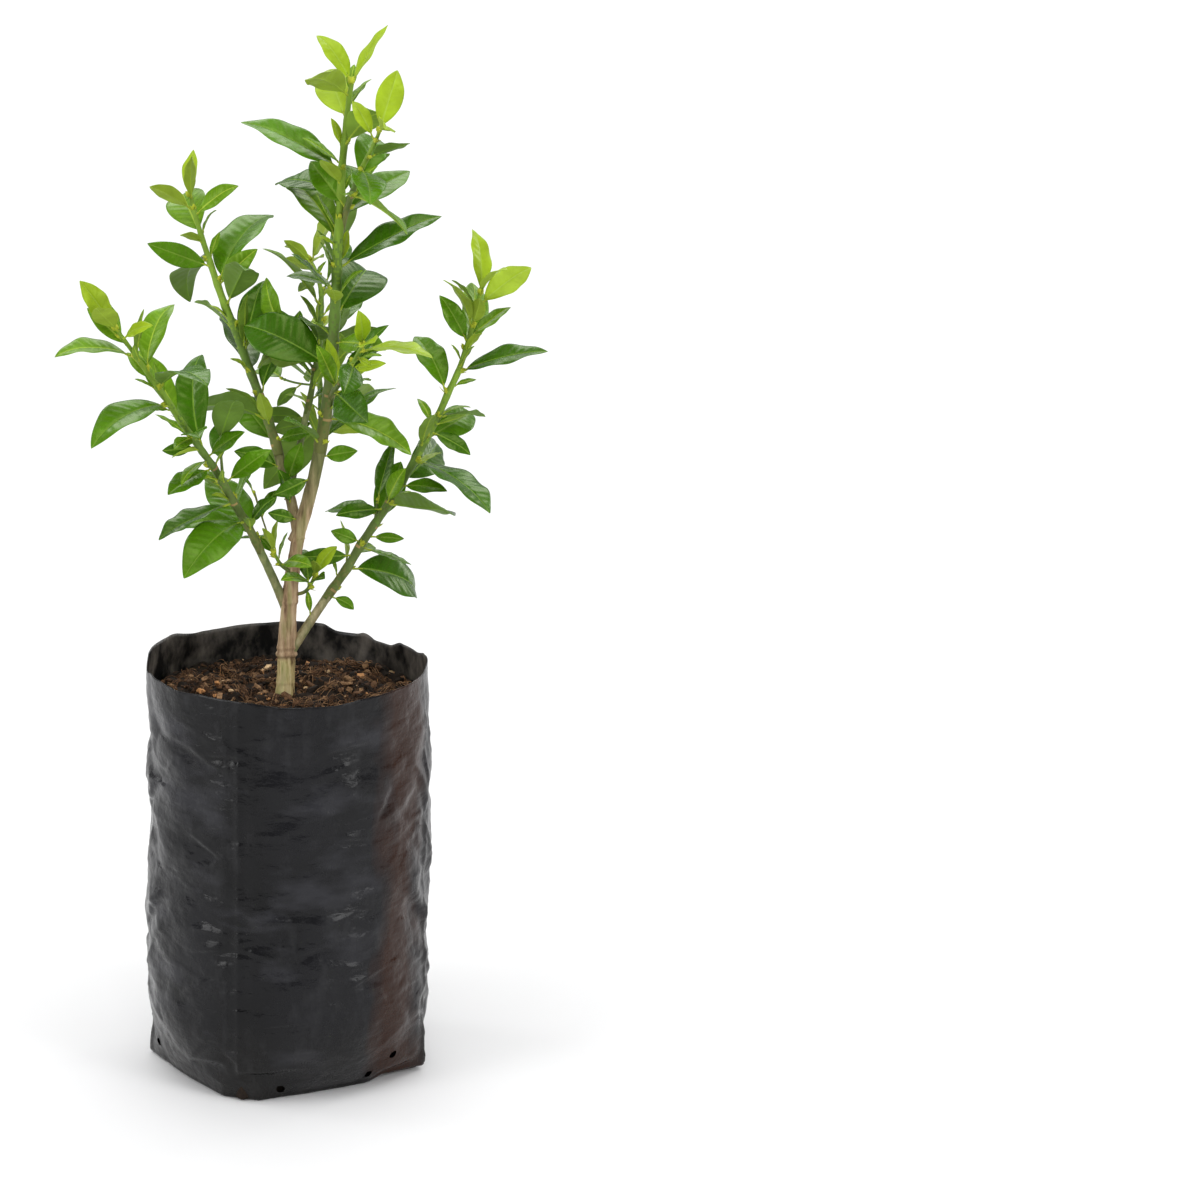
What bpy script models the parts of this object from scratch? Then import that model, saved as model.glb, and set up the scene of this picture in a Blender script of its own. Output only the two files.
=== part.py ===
"""Finger lime tree, about 570 mm tall, growing in a black film grow bag.

The frame is in metres with +Z up. Its origin is the middle of the bag's flat underside.
+X runs to the right of the plant's best side and +Y runs away from it. The woody parts
are tapering tubes round cubic curves. Each mass of foliage grows along its own curves by
one seeded rule, in short flushes, and is one closed solid.
"""

import math
import random
from collections import namedtuple

import bmesh
import bpy
from mathutils import Vector
from mathutils.bvhtree import BVHTree

MM = 0.001

# Clearance between solids that touch on the real plant
GAP = 0.3 * MM
# Room kept between a leaf or twig and whatever grew before it
ELBOW_ROOM = 0.8 * MM

# Grow bag
BAG_RADIUS = 75 * MM
BAG_WALL = 1.2 * MM
BAG_SIDES = 48
RIM_HEIGHT = 225.5 * MM
# Each rise (or dip) of the rim: bearing and half width in degrees, height
RIM_WAVES = (
    (67, 8, -3.5 * MM),
    (49, 8, -5.5 * MM),
    (30, 10, -2.5 * MM),
    (1, 9, 2.0 * MM),
    (169, 9, 5.0 * MM),
    (186, 7, -2.0 * MM),
    (280, 16, -1.5 * MM),
)
BASE_CORNER_BEARINGS = (-108, -12, 80, 175)
BASE_CORNER_RADIUS = 76 * MM
BASE_SIDE_BULGE = 0.10
BASE_EDGE = 2.5 * MM
GUSSET_HEIGHT = 44 * MM
WALL_RING_HEIGHTS = (12 * MM, 26 * MM, 44 * MM, 100 * MM, 155 * MM)
DRAIN_RADIUS = 2.7 * MM
# Each drainage hole: bearing in degrees, height above the floor
DRAINS = (
    (-172, 12 * MM),
    (-91, 6 * MM),
    (-33, 17 * MM),
    (-43, 7 * MM),
    (30, 13 * MM),
    (95, 22 * MM),
    (140, 11 * MM),
)

# Potting mix
SOIL_TOP = 207 * MM
SOIL_FLAT_RADIUS = 9 * MM
SOIL_RING_RADII = (16 * MM, 30 * MM, 45 * MM, 60 * MM)
SOIL_UNEVENNESS = 2.0 * MM
SOIL_SEED = 5

# Each stem's curve in mm: its base, the way it leaves it, the way it arrives, and its tip
CURVES = {
    "trunk": ((-2, 0, 207), (2, 0, 38), (7, 0, 35), (6, 0, 299)),
    "leader": ((5, 0, 297), (28, -2, 88), (12, -2, 79), (33, -6, 544)),
    "left_low": ((-3, 0, 260), (-28, -24, 79), (-30, -24, 56), (-85, -76, 428)),
    "left_mid": ((5, 0, 298), (-16, 21, 72), (-19, 24, 63), (-56, 68, 465)),
    "right": ((3, 0, 235), (39, 14, 59), (11, 18, 63), (100, 50, 418)),
    "centre": ((0, 6, 317), (17, 20, 80), (-12, 26, 13), (8, 78, 428)),
    "back": ((11, 0, 322), (9, 26, 20), (-2, 36, 24), (11, 98, 383)),
    "leader_side": ((27, 0, 461), (7, -14, 33), (10, -16, 28), (49, -48, 528)),
    "leader_low_side": ((21, 0, 371), (5, -18, 12), (6, -20, 18), (41, -60, 417)),
    "sprout_left": ((3, -1, 276), (-5, -4, 3), (-1, -2, 5), (-7, -8, 289)),
    "sprout_right": ((5, -1, 264), (6, -4, 2), (2, -2, 5), (14, -7, 276)),
}

# Trunk: radius in mm at each share of its length, with the flare, two nodes and the fork
TRUNK_RADII = (
    (0.00, 5.5),
    (0.05, 4.9),
    (0.18, 4.7),
    (0.25, 5.3),
    (0.31, 4.8),
    (0.52, 4.3),
    (0.60, 4.6),
    (0.68, 3.9),
    (0.88, 3.4),
    (1.00, 3.5),
)
TRUNK_SIDES = 10

# Each stem's bare share, radius at base and tip in mm, and the seed of each flush of leaves
Growth = namedtuple("Growth", "bare base_radius tip_radius leaf spacing flushes")
GROWTH = {
    "leader": Growth(0.17, 3.6, 1.2, 60, 13.5,
        (603120, 619676, 620464, 715386, 702224, 709241, 608025, 639643)
    ),
    "left_low": Growth(0.14, 2.6, 1.0, 60, 13.5, (611601, 604870, 701010, 711461, 705305, 712872)),
    "left_mid": Growth(0.20, 2.9, 1.1, 60, 13.5, (620597, 706770, 652435, 619177, 624177)),
    "right": Growth(0.14, 3.0, 1.2, 60, 13.5,
        (608564, 642805, 634690, 610268, 649980, 643745, 619838)
    ),
    "centre": Growth(0.20, 1.8, 0.9, 50, 13.5, (714395, 631687, 701619, 705146)),
    "back": Growth(0.25, 1.8, 0.9, 52, 13.5, (617528, 703887, 409373)),
    "leader_side": Growth(0.12, 1.7, 0.9, 50, 13.5, (626606, 645597)),
    "leader_low_side": Growth(0.15, 1.5, 0.8, 55, 13.5, (643442, 716288)),
    "sprout_left": Growth(0.35, 1.0, 0.7, 28, 6.0, (711736,)),
    "sprout_right": Growth(0.35, 1.0, 0.7, 28, 6.0, (638843,)),
}
# Each mass of foliage: its own stem, and any side twig strong enough to have its own curve
MASSES = {
    "foliage_leader": ("leader", "leader_side", "leader_low_side"),
    "foliage_left_low": ("left_low",),
    "foliage_left_mid": ("left_mid",),
    "foliage_right": ("right",),
    "foliage_centre": ("centre",),
    "foliage_back": ("back",),
    "foliage_sprout_left": ("sprout_left",),
    "foliage_sprout_right": ("sprout_right",),
}
# Each bare bough: the limbs that it starts in, and how far its root runs back into them in mm
BOUGHS = {
    "leader": (("trunk",), 4),
    "left_mid": (("trunk", "leader"), 4),
    "left_low": (("trunk",), 9),
    "right": (("trunk",), 6),
    "centre": (("left_mid",), 3),
    "back": (("leader",), 3),
}

# Growth rule: leaves stand round a stem by the golden angle, and twigs start beside some
GOLDEN_ANGLE = 137.5
LEAF_LIFT = 0.35
TWIG_CHANCE = 0.45
TWIG_BARE_END = 0.85
TWIG_SHARE = 0.45
TWIG_TIP_RADIUS = 0.6 * MM
OWN_WOOD = 14 * MM

# Leaf solid: half widths of the blade follow the outline rule at these shares of its length
BLADE_STATIONS = (0.05, 0.20, 0.42, 0.66, 0.87)
PETIOLE_RADIUS = 0.55 * MM
LEAF_THICKNESS = 0.02
LEAF_FOLD = 0.16
TERMINAL_SINK = 1.6 * MM


def on_arc(bearing, radius, height):
    return Vector((radius * math.cos(bearing), radius * math.sin(bearing), height))


def smooth_step(value):
    value = min(1.0, max(0.0, value))
    return value * value * (3 - 2 * value)


def new_material(name, colour, roughness):
    material = bpy.data.materials.new(name)
    material.use_nodes = True
    shader = material.node_tree.nodes["Principled BSDF"]
    shader.inputs["Base Color"].default_value = (*colour, 1)
    shader.inputs["Roughness"].default_value = roughness
    shader.inputs["Metallic"].default_value = 0
    material.diffuse_color = (*colour, 1)
    return material


def new_object(name, mesh, collection, material=None):
    obj = bpy.data.objects.new(name, mesh)
    collection.objects.link(obj)
    if material:
        mesh.materials.clear()
        mesh.materials.append(material)
    return obj


def mesh_from(bm, name):
    bmesh.ops.recalc_face_normals(bm, faces=bm.faces)
    mesh = bpy.data.meshes.new(name)
    bm.to_mesh(mesh)
    bm.free()
    return mesh


def bridge(bm, lower, upper):
    """The band of triangles between two rings of as many vertices, all split the same way."""
    count = len(lower)
    for i in range(count):
        j = (i + 1) % count
        bm.faces.new((lower[i], lower[j], upper[j]))
        bm.faces.new((lower[i], upper[j], upper[i]))


def evaluated_mesh(obj):
    graph = bpy.context.evaluated_depsgraph_get()
    return bpy.data.meshes.new_from_object(obj.evaluated_get(graph))


def drop_scraps(mesh):
    """Leaves only the body of a mesh that has the most faces."""
    bm = bmesh.new()
    bm.from_mesh(mesh)
    bodies = []
    unseen = set(bm.faces)
    while unseen:
        body = set()
        edge_of_body = [unseen.pop()]
        while edge_of_body:
            face = edge_of_body.pop()
            body.add(face)
            near = {other for edge in face.edges for other in edge.link_faces} & unseen
            unseen -= near
            edge_of_body.extend(near)
        bodies.append(body)
    largest = max(bodies, key=len)
    scraps = [face for face in bm.faces if face not in largest]
    bmesh.ops.delete(bm, geom=scraps, context="FACES")
    bm.to_mesh(mesh)
    bm.free()


def remove_object(obj):
    mesh = obj.data
    bpy.data.objects.remove(obj)
    if not mesh.users:
        bpy.data.meshes.remove(mesh)


def combine(obj, others, operation):
    """Joins to the object, or cuts from it, all the other objects, and then removes them."""
    operands = bpy.data.collections.new("operands")
    bpy.context.scene.collection.children.link(operands)
    for other in others:
        for collection in other.users_collection:
            collection.objects.unlink(other)
        operands.objects.link(other)
    modifier = obj.modifiers.new("combine", "BOOLEAN")
    modifier.operation = operation
    modifier.operand_type = "COLLECTION"
    modifier.collection = operands
    modifier.solver = "EXACT"
    modifier.use_self = operation == "UNION"
    bpy.context.view_layer.update()
    mesh = evaluated_mesh(obj)
    obj.modifiers.clear()
    old = obj.data
    mesh.materials.clear()
    for material in old.materials:
        mesh.materials.append(material)
    obj.data = mesh
    bpy.data.meshes.remove(old)
    for other in list(operands.objects):
        remove_object(other)
    bpy.data.collections.remove(operands)
    drop_scraps(mesh)


class Stem:
    """A cubic curve from a base to a tip, with a radius that tapers along it."""

    def __init__(self, name):
        base, leave, arrive, tip = (MM * Vector(point) for point in CURVES[name])
        self.controls = (base, base + leave, tip - arrive, tip)
        growth = GROWTH.get(name)
        if growth:
            self.bare = growth.bare
            middle = (growth.base_radius + growth.tip_radius) / 2
            self.radii = ((0.0, growth.base_radius), (0.7, middle), (1.0, growth.tip_radius))
            self.leaf = growth.leaf * MM
            self.spacing = growth.spacing * MM
            self.flushes = growth.flushes
        else:
            self.radii = TRUNK_RADII
        samples = [self.point(i / 24) for i in range(25)]
        self.length = sum((b - a).length for a, b in zip(samples, samples[1:]))

    def point(self, share):
        return cubic_point(self.controls, share)

    def direction(self, share):
        return cubic_direction(self.controls, share)

    def radius(self, share):
        for (start, first), (end, last) in zip(self.radii, self.radii[1:]):
            if share <= end:
                return MM * (first + (last - first) * (share - start) / (end - start))
        return MM * self.radii[-1][1]

    def leaf_shares(self):
        count = max(2, round((1 - self.bare) * self.length / self.spacing))
        return [self.bare + (1 - self.bare) * (i + 0.5) / count for i in range(count)]


def cubic_point(controls, share):
    a, b, c, d = controls
    rest = 1 - share
    return a * rest**3 + b * (3 * share * rest**2) + c * (3 * share**2 * rest) + d * share**3


def cubic_direction(controls, share):
    a, b, c, d = controls
    rest = 1 - share
    return ((b - a) * rest**2 + (c - b) * (2 * share * rest) + (d - c) * share**2).normalized()


def tube(name, centres, radii, sides, collection, material=None):
    """A tapering tube with flat ends, as a mesh object."""
    curve = bpy.data.curves.new(name, "CURVE")
    curve.dimensions = "3D"
    curve.bevel_depth = 1
    curve.bevel_resolution = (sides - 4) // 2
    curve.use_fill_caps = True
    spline = curve.splines.new("POLY")
    spline.points.add(len(centres) - 1)
    for point, centre, radius in zip(spline.points, centres, radii):
        point.co = (*centre, 1)
        point.radius = radius
    obj = bpy.data.objects.new(name, curve)
    collection.objects.link(obj)
    bpy.context.view_layer.update()
    mesh = evaluated_mesh(obj)
    bpy.data.objects.remove(obj)
    bpy.data.curves.remove(curve)
    bm = bmesh.new()
    bm.from_mesh(mesh)
    bmesh.ops.remove_doubles(bm, verts=bm.verts, dist=0.01 * MM)
    bmesh.ops.recalc_face_normals(bm, faces=bm.faces)
    bm.to_mesh(mesh)
    bm.free()
    return new_object(name, mesh, collection, material)


def limb_route(stem, start, end, count, sink=0.0, swell=0.0):
    """Centres and radii along part of a stem; its ends run on by sink at the root and by swell."""
    shares = [start + (end - start) * i / count for i in range(count + 1)]
    centres = [stem.point(share) for share in shares]
    radii = [stem.radius(share) + swell for share in shares]
    if sink + swell:
        centres.insert(0, centres[0] - (sink + swell) * stem.direction(start))
        radii.insert(0, radii[0])
    if swell:
        centres[-1] = centres[-1] + swell * stem.direction(end)
    return centres, radii


def make_trunk(stem, collection, material, swell=0.0, name="trunk"):
    """The trunk, run a little below the soil and then cut flat just above it."""
    shares = sorted({share for share, _ in TRUNK_RADII} | {0.42, 0.78})
    centres = [stem.point(share) for share in shares]
    radii = [stem.radius(share) + swell for share in shares]
    centres.insert(0, centres[0] - Vector((0, 0, 4 * MM)))
    radii.insert(0, radii[0] * 1.1)
    centres[-1] = centres[-1] + swell * stem.direction(1)
    trunk = tube(name, centres, radii, TRUNK_SIDES, collection, material)
    bm = bmesh.new()
    bm.from_mesh(trunk.data)
    cut = bmesh.ops.bisect_plane(
        bm,
        geom=bm.verts[:] + bm.edges[:] + bm.faces[:],
        plane_co=(0, 0, SOIL_TOP + GAP - swell),
        plane_no=(0, 0, -1),
        clear_outer=True,
    )
    open_edges = [item for item in cut["geom_cut"] if isinstance(item, bmesh.types.BMEdge)]
    bmesh.ops.contextual_create(bm, geom=open_edges)
    bmesh.ops.recalc_face_normals(bm, faces=bm.faces)
    bm.to_mesh(trunk.data)
    bm.free()
    return trunk


def make_bough(name, stems, collection, material):
    """A bare bough, cut 0.3 mm clear of the limbs that it starts in."""
    stem = stems[name]
    parents, sink = BOUGHS[name]
    centres, radii = limb_route(stem, 0, stem.bare, 5, sink=sink * MM)
    bough = tube("bough_" + name, centres, radii, 8, collection, material)
    cutters = []
    for parent in parents:
        if parent == "trunk":
            cutters.append(make_trunk(stems[parent], collection, None, GAP, "cutter"))
        else:
            parent_sink = BOUGHS[parent][1] * MM
            route = limb_route(stems[parent], 0, stems[parent].bare, 5, parent_sink, GAP)
            cutters.append(tube("cutter", *route, 8, collection))
    combine(bough, cutters, "DIFFERENCE")
    return bough


Leaf = namedtuple("Leaf", "root base along normal side length width droop petiole young")
Twig = namedtuple("Twig", "controls base_radius")
Sprig = namedtuple("Sprig", "twig leaves")


def across(along, bearing):
    """The direction at right angles to a stem that has this bearing round it."""
    sideways = along.cross(Vector((0, 1, 0)))
    sideways = sideways.normalized() if sideways.length > 0.001 else Vector((1, 0, 0))
    return sideways * math.cos(bearing) - sideways.cross(along) * math.sin(bearing)


def new_leaf(base, stem_way, outward, spread, length, aspect, droop, roll, petiole, young, sink=0.0):
    """A leaf that leaves its stem by the spread angle, with its face turned towards the light."""
    along = stem_way * math.cos(spread) + outward * math.sin(spread)
    normal = stem_way * math.sin(spread) - outward * math.cos(spread)
    light = Vector((0, 0, 1)) - along * along.z
    if light.length > 0.01:
        normal = normal * (1 - LEAF_LIFT) + light.normalized() * LEAF_LIFT
    normal = (normal - along * along.dot(normal)).normalized()
    side = along.cross(normal)
    normal = normal * math.cos(roll) + side * math.sin(roll)
    side = along.cross(normal)
    root = base - sink * stem_way
    return Leaf(root, base, along, normal, side, length, length * aspect, droop, petiole, young)


def grow_sprig(pick, stem, point, along, bearing, radius, young):
    """A short twig beside a leaf, with a few smaller leaves and one more at its tip."""
    outward = across(along, bearing + math.radians(pick.uniform(-35, 35)))
    angle = math.radians(pick.uniform(22, 60))
    length = pick.uniform(0.010, 0.034)
    way = (along * math.cos(angle) + outward * math.sin(angle)).normalized()
    tip = point + way * length + Vector((0, 0, length * 0.1))
    controls = (point, point + way * (length / 3), point + way * (length * 2 / 3), tip)
    count = pick.randint(1, 3)
    leaves = []
    for i in range(count + 1):
        last = i == count
        share = 1.0 if last else (i + 1) / (count + 1)
        twig_way = cubic_direction(controls, share)
        spread = pick.uniform(5, 40) if last else pick.uniform(35, 80)
        leaf_way = across(twig_way, bearing + math.radians(180 * i + 90 + pick.uniform(-45, 45)))
        leaves.append(
            new_leaf(
                cubic_point(controls, share),
                twig_way,
                leaf_way,
                math.radians(spread),
                stem.leaf * pick.uniform(0.28, 0.62),
                pick.uniform(0.40, 0.50),
                math.radians(pick.uniform(0, 50)),
                math.radians(pick.uniform(-50, 50)),
                0.003,
                young * 0.8 + 0.15,
                sink=TERMINAL_SINK if last else 0.0,
            )
        )
    return Sprig(Twig(controls, radius * TWIG_SHARE), leaves)


def grow_tip(pick, stem, bearing):
    """The pair of young leaves that ends a stem."""
    along = stem.direction(1.0)
    leaves = []
    for i in range(2):
        outward = across(along, bearing + math.radians(150 * (i + 1) + pick.uniform(-40, 40)))
        leaves.append(
            new_leaf(
                stem.point(1.0),
                along,
                outward,
                math.radians(pick.uniform(5, 45)),
                stem.leaf * pick.uniform(0.40, 0.68),
                pick.uniform(0.40, 0.48),
                math.radians(pick.uniform(-10, 35)),
                math.radians(pick.uniform(-50, 50)),
                0.003,
                1.0,
                sink=TERMINAL_SINK,
            )
        )
    return leaves


def grow_flush(stem, flush):
    """One flush of a stem, from its base up: sprigs, and leaves as sprigs with no twig."""
    shares = stem.leaf_shares()
    total = len(shares)
    first = round(flush * total / len(stem.flushes))
    end = round((flush + 1) * total / len(stem.flushes))
    pick = random.Random(stem.flushes[flush])
    start = pick.uniform(0, 2 * math.pi)
    grown = []
    for i in range(first, end):
        share = shares[i]
        along = stem.direction(share)
        point = stem.point(share)
        radius = stem.radius(share)
        bearing = start + math.radians(GOLDEN_ANGLE * (i - first) + pick.uniform(-40, 40))
        outward = across(along, bearing)
        way_up = (share - stem.bare) / (1 - stem.bare)
        young = max(0.0, min(1.0, (way_up - 0.7) / 0.3))
        length = stem.leaf * (1 - 0.3 * young) * pick.uniform(0.38, 1.0)
        spread = math.radians(pick.uniform(30, 85) * (1 - 0.25 * young))
        aspect = pick.uniform(0.38, 0.50)
        droop = math.radians(pick.uniform(-5, 60))
        roll = math.radians(pick.uniform(-50, 50))
        petiole = 0.003 + 0.03 * length
        base = point + outward * (radius * 0.5)
        leaf = new_leaf(base, along, outward, spread, length, aspect, droop, roll, petiole, young)
        grown.append(Sprig(None, [leaf]))
        if pick.uniform(0, 1) < TWIG_CHANCE and way_up < TWIG_BARE_END:
            grown.append(grow_sprig(pick, stem, point, along, bearing, radius, young))
        if i == total - 1:
            grown.extend(Sprig(None, [leaf]) for leaf in grow_tip(pick, stem, bearing))
    return grown


def grow(stem):
    """All that grows on a stem, flush by flush."""
    return [sprig for flush in range(len(stem.flushes)) for sprig in grow_flush(stem, flush)]


def blade_point(leaf, share, sideways, lift=0.0):
    """A point of the drooping blade: sideways and lift run from its midrib."""
    bend = leaf.droop if abs(leaf.droop) > 0.001 else 0.001
    angle = bend * share
    middle = leaf.base + leaf.along * (leaf.petiole + leaf.length * math.sin(angle) / bend)
    middle = middle - leaf.normal * (leaf.length * (1 - math.cos(angle)) / bend)
    up = leaf.normal * math.cos(angle) + leaf.along * math.sin(angle)
    return middle + leaf.side * sideways + up * lift


def half_width(leaf, share):
    """Half the blade's width: widest a little below its middle, drawn out to a point."""
    return leaf.width / 2 * math.sin(math.pi * share**0.95) ** 0.85


def blade_rings(leaf, stations, room=0.0):
    """Four-point sections of the blade, folded up a little along its midrib."""
    thickness = LEAF_THICKNESS * leaf.length / 2 + room
    rings = []
    for share in stations:
        half = half_width(leaf, share) + room
        fold = LEAF_FOLD * half
        rings.append(
            (
                blade_point(leaf, share, -half, fold),
                blade_point(leaf, share, 0, thickness),
                blade_point(leaf, share, half, fold),
                blade_point(leaf, share, 0, -thickness),
            )
        )
    return rings


def leaf_rings(leaf):
    """The petiole's root ring and the blade's rings."""
    across_petiole = leaf.side * PETIOLE_RADIUS
    up_petiole = leaf.normal * PETIOLE_RADIUS
    root = leaf.root
    ring = (root - across_petiole, root + up_petiole, root + across_petiole, root - up_petiole)
    return [ring, *blade_rings(leaf, BLADE_STATIONS)]


def make_leaf(leaf, collection):
    bm = bmesh.new()
    rings = [[bm.verts.new(point) for point in ring] for ring in leaf_rings(leaf)]
    bm.faces.new(rings[0])
    for lower, upper in zip(rings, rings[1:]):
        bridge(bm, lower, upper)
    tip = bm.verts.new(blade_point(leaf, 1.0, 0))
    last = rings[-1]
    for i in range(4):
        bm.faces.new((last[i], last[(i + 1) % 4], tip))
    return new_object("leaf", mesh_from(bm, "leaf"), collection)


def shell_faces(ring_count, sides):
    """Faces of the band through rings whose points are listed one after another."""
    faces = []
    for ring in range(ring_count - 1):
        for i in range(sides):
            j = (i + 1) % sides
            low = ring * sides
            faces.append((low + i, low + j, low + sides + j, low + sides + i))
    return faces


def tree_of(rings):
    """A search tree of the band through some rings, with the sphere that it fits in."""
    points = [point for ring in rings for point in ring]
    centre = sum(points, Vector()) / len(points)
    reach = max((point - centre).length for point in points)
    tree = BVHTree.FromPolygons(points, shell_faces(len(rings), len(rings[0])))
    return tree, centre, reach


def wood_ring(centre, along, radius, sides=6):
    return [
        centre + radius * across(along, 2 * math.pi * i / sides)
        for i in range(sides)
    ]


class Crowd:
    """All that has grown so far, to keep what grows next clear of it."""

    def __init__(self):
        self.wood = []
        self.blades = []

    def add_wood(self, owner, controls, radius_at, start, end):
        """Short lengths of wood from one share of a curve to another."""
        count = max(2, round((end - start) * (controls[3] - controls[0]).length / (6 * MM)))
        shares = [start + (end - start) * i / count for i in range(count + 1)]
        rings = [
            wood_ring(cubic_point(controls, share), cubic_direction(controls, share), radius_at(share))
            for share in shares
        ]
        for pair in zip(rings, rings[1:]):
            self.wood.append((owner, *tree_of(pair)))

    def add_blade(self, leaf):
        self.blades.append(tree_of(blade_rings(leaf, BLADE_STATIONS + (0.98,))))

    def meets(self, shape, owner, near):
        """Whether a shape meets a blade, or any wood but its owner's beside its own root."""
        tree, centre, reach = shape
        for blade, middle, size in self.blades:
            if (middle - centre).length < size + reach and tree.overlap(blade):
                return True
        for wood_owner, wood, middle, size in self.wood:
            if (middle - centre).length > size + reach:
                continue
            if wood_owner == owner and (middle - near).length < OWN_WOOD:
                continue
            if tree.overlap(wood):
                return True
        return False

    def leaf_meets(self, leaf, owner):
        guard = tree_of(blade_rings(leaf, (0.12,) + BLADE_STATIONS[1:] + (0.98,), ELBOW_ROOM))
        return self.meets(guard, owner, leaf.base)

    def twig_meets(self, twig, owner):
        rings = [
            wood_ring(
                cubic_point(twig.controls, share),
                cubic_direction(twig.controls, share),
                twig.base_radius,
            )
            for share in (0.45, 0.72, 1.0)
        ]
        return self.meets(tree_of(rings), owner, twig.controls[0])


def grow_masses(stems):
    """For each mass, the twigs and leaves that are kept, with those that meet others skipped."""
    crowd = Crowd()
    trunk = stems["trunk"]
    crowd.add_wood("trunk", trunk.controls, trunk.radius, 0, 1)
    for name in BOUGHS:
        stem = stems[name]
        crowd.add_wood("bough_" + name, stem.controls, stem.radius, 0, stem.bare)
    for mass, names in MASSES.items():
        for name in names:
            stem = stems[name]
            start = stem.bare if name in BOUGHS else 0
            crowd.add_wood(mass, stem.controls, stem.radius, start, 1)
    kept = {}
    for mass, names in MASSES.items():
        kept[mass] = []
        for name in names:
            for sprig in grow(stems[name]):
                twig = sprig.twig
                if twig and crowd.twig_meets(twig, mass):
                    continue
                leaves = []
                for leaf in sprig.leaves:
                    if not crowd.leaf_meets(leaf, mass):
                        crowd.add_blade(leaf)
                        leaves.append(leaf)
                if twig:
                    crowd.add_wood(mass, twig.controls, lambda _, r=twig.base_radius: r, 0.2, 1)
                kept[mass].append(Sprig(twig, leaves))
    return kept


def make_twig(twig, collection):
    centres = [cubic_point(twig.controls, share) for share in (0, 0.5, 1)]
    middle = (twig.base_radius + TWIG_TIP_RADIUS) / 2
    radii = (twig.base_radius, middle, TWIG_TIP_RADIUS)
    return tube("twig", centres, radii, 4, collection)


def make_mass(mass, stems, sprigs, collection, material):
    """The mass's stem with its side twigs, sprigs and leaves fused on."""
    name, *side_names = MASSES[mass]
    stem = stems[name]
    if name in BOUGHS:
        start = stem.bare + GAP / stem.length
        count = max(3, round(stem.length / (22 * MM)))
        centres, radii = limb_route(stem, start, 1, count)
        body = tube(mass, centres, radii, 6, collection, material)
    else:
        centres, radii = limb_route(stem, 0, 1, 3)
        body = tube(mass, centres, radii, 6, collection, material)
        cutter = make_trunk(stems["trunk"], collection, None, GAP, "cutter")
        combine(body, [cutter], "DIFFERENCE")
    pieces = []
    for side_name in side_names:
        side = stems[side_name]
        pieces.append(tube("side", *limb_route(side, 0, 1, 4), 6, collection))
    for sprig in sprigs:
        if sprig.twig:
            pieces.append(make_twig(sprig.twig, collection))
        pieces.extend(make_leaf(leaf, collection) for leaf in sprig.leaves)
    combine(body, pieces, "UNION")
    return body


def angle_between(first, second):
    return (first - second + math.pi) % (2 * math.pi) - math.pi


def base_radius_at(bearing):
    """The bag's base: straight sides, bulged a little, between four dog-eared corners."""
    corners = sorted(math.radians(corner) % (2 * math.pi) for corner in BASE_CORNER_BEARINGS)
    bearing %= 2 * math.pi
    for i, start in enumerate(corners):
        end = corners[(i + 1) % len(corners)]
        span = (end - start) % (2 * math.pi)
        along = (bearing - start) % (2 * math.pi)
        if along <= span:
            chord = BASE_CORNER_RADIUS * math.cos(span / 2) / math.cos(along - span / 2)
            return chord + (BASE_CORNER_RADIUS - chord) * BASE_SIDE_BULGE
    return BASE_CORNER_RADIUS


def bag_radius_at(bearing, height):
    """The bag's outer radius: the base's outline below turns into a circle above it."""
    base = base_radius_at(bearing)
    share = math.sqrt(smooth_step(height / GUSSET_HEIGHT))
    return base + (BAG_RADIUS - base) * share


def rim_height_at(bearing):
    height = RIM_HEIGHT
    for middle, half_span, rise in RIM_WAVES:
        away = abs(angle_between(bearing, math.radians(middle))) / math.radians(half_span)
        height += rise * smooth_step(1.5 - away)
    return height


def wall_inset_at(bearing, height, depth):
    """How far in along a radius a surface lies that is this deep under the bag's outside."""
    step = 2 * math.pi / BAG_SIDES
    here = bag_radius_at(bearing, height)
    turn = max(
        abs(bag_radius_at(bearing + way * step, height) - here) / (here * step) for way in (-1, 1)
    )
    rise = abs(bag_radius_at(bearing, height + 4 * MM) - here) / (4 * MM)
    return depth * math.sqrt(1 + turn**2 + rise**2)


def bag_bearings():
    """Even bearings round the bag, with the nearest one moved onto each corner of the base."""
    bearings = [2 * math.pi * i / BAG_SIDES for i in range(BAG_SIDES)]
    for corner in BASE_CORNER_BEARINGS:
        turned = math.radians(corner) % (2 * math.pi)
        nearest = min(range(BAG_SIDES), key=lambda i: abs(angle_between(bearings[i], turned)))
        bearings[nearest] = turned
    return bearings


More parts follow.
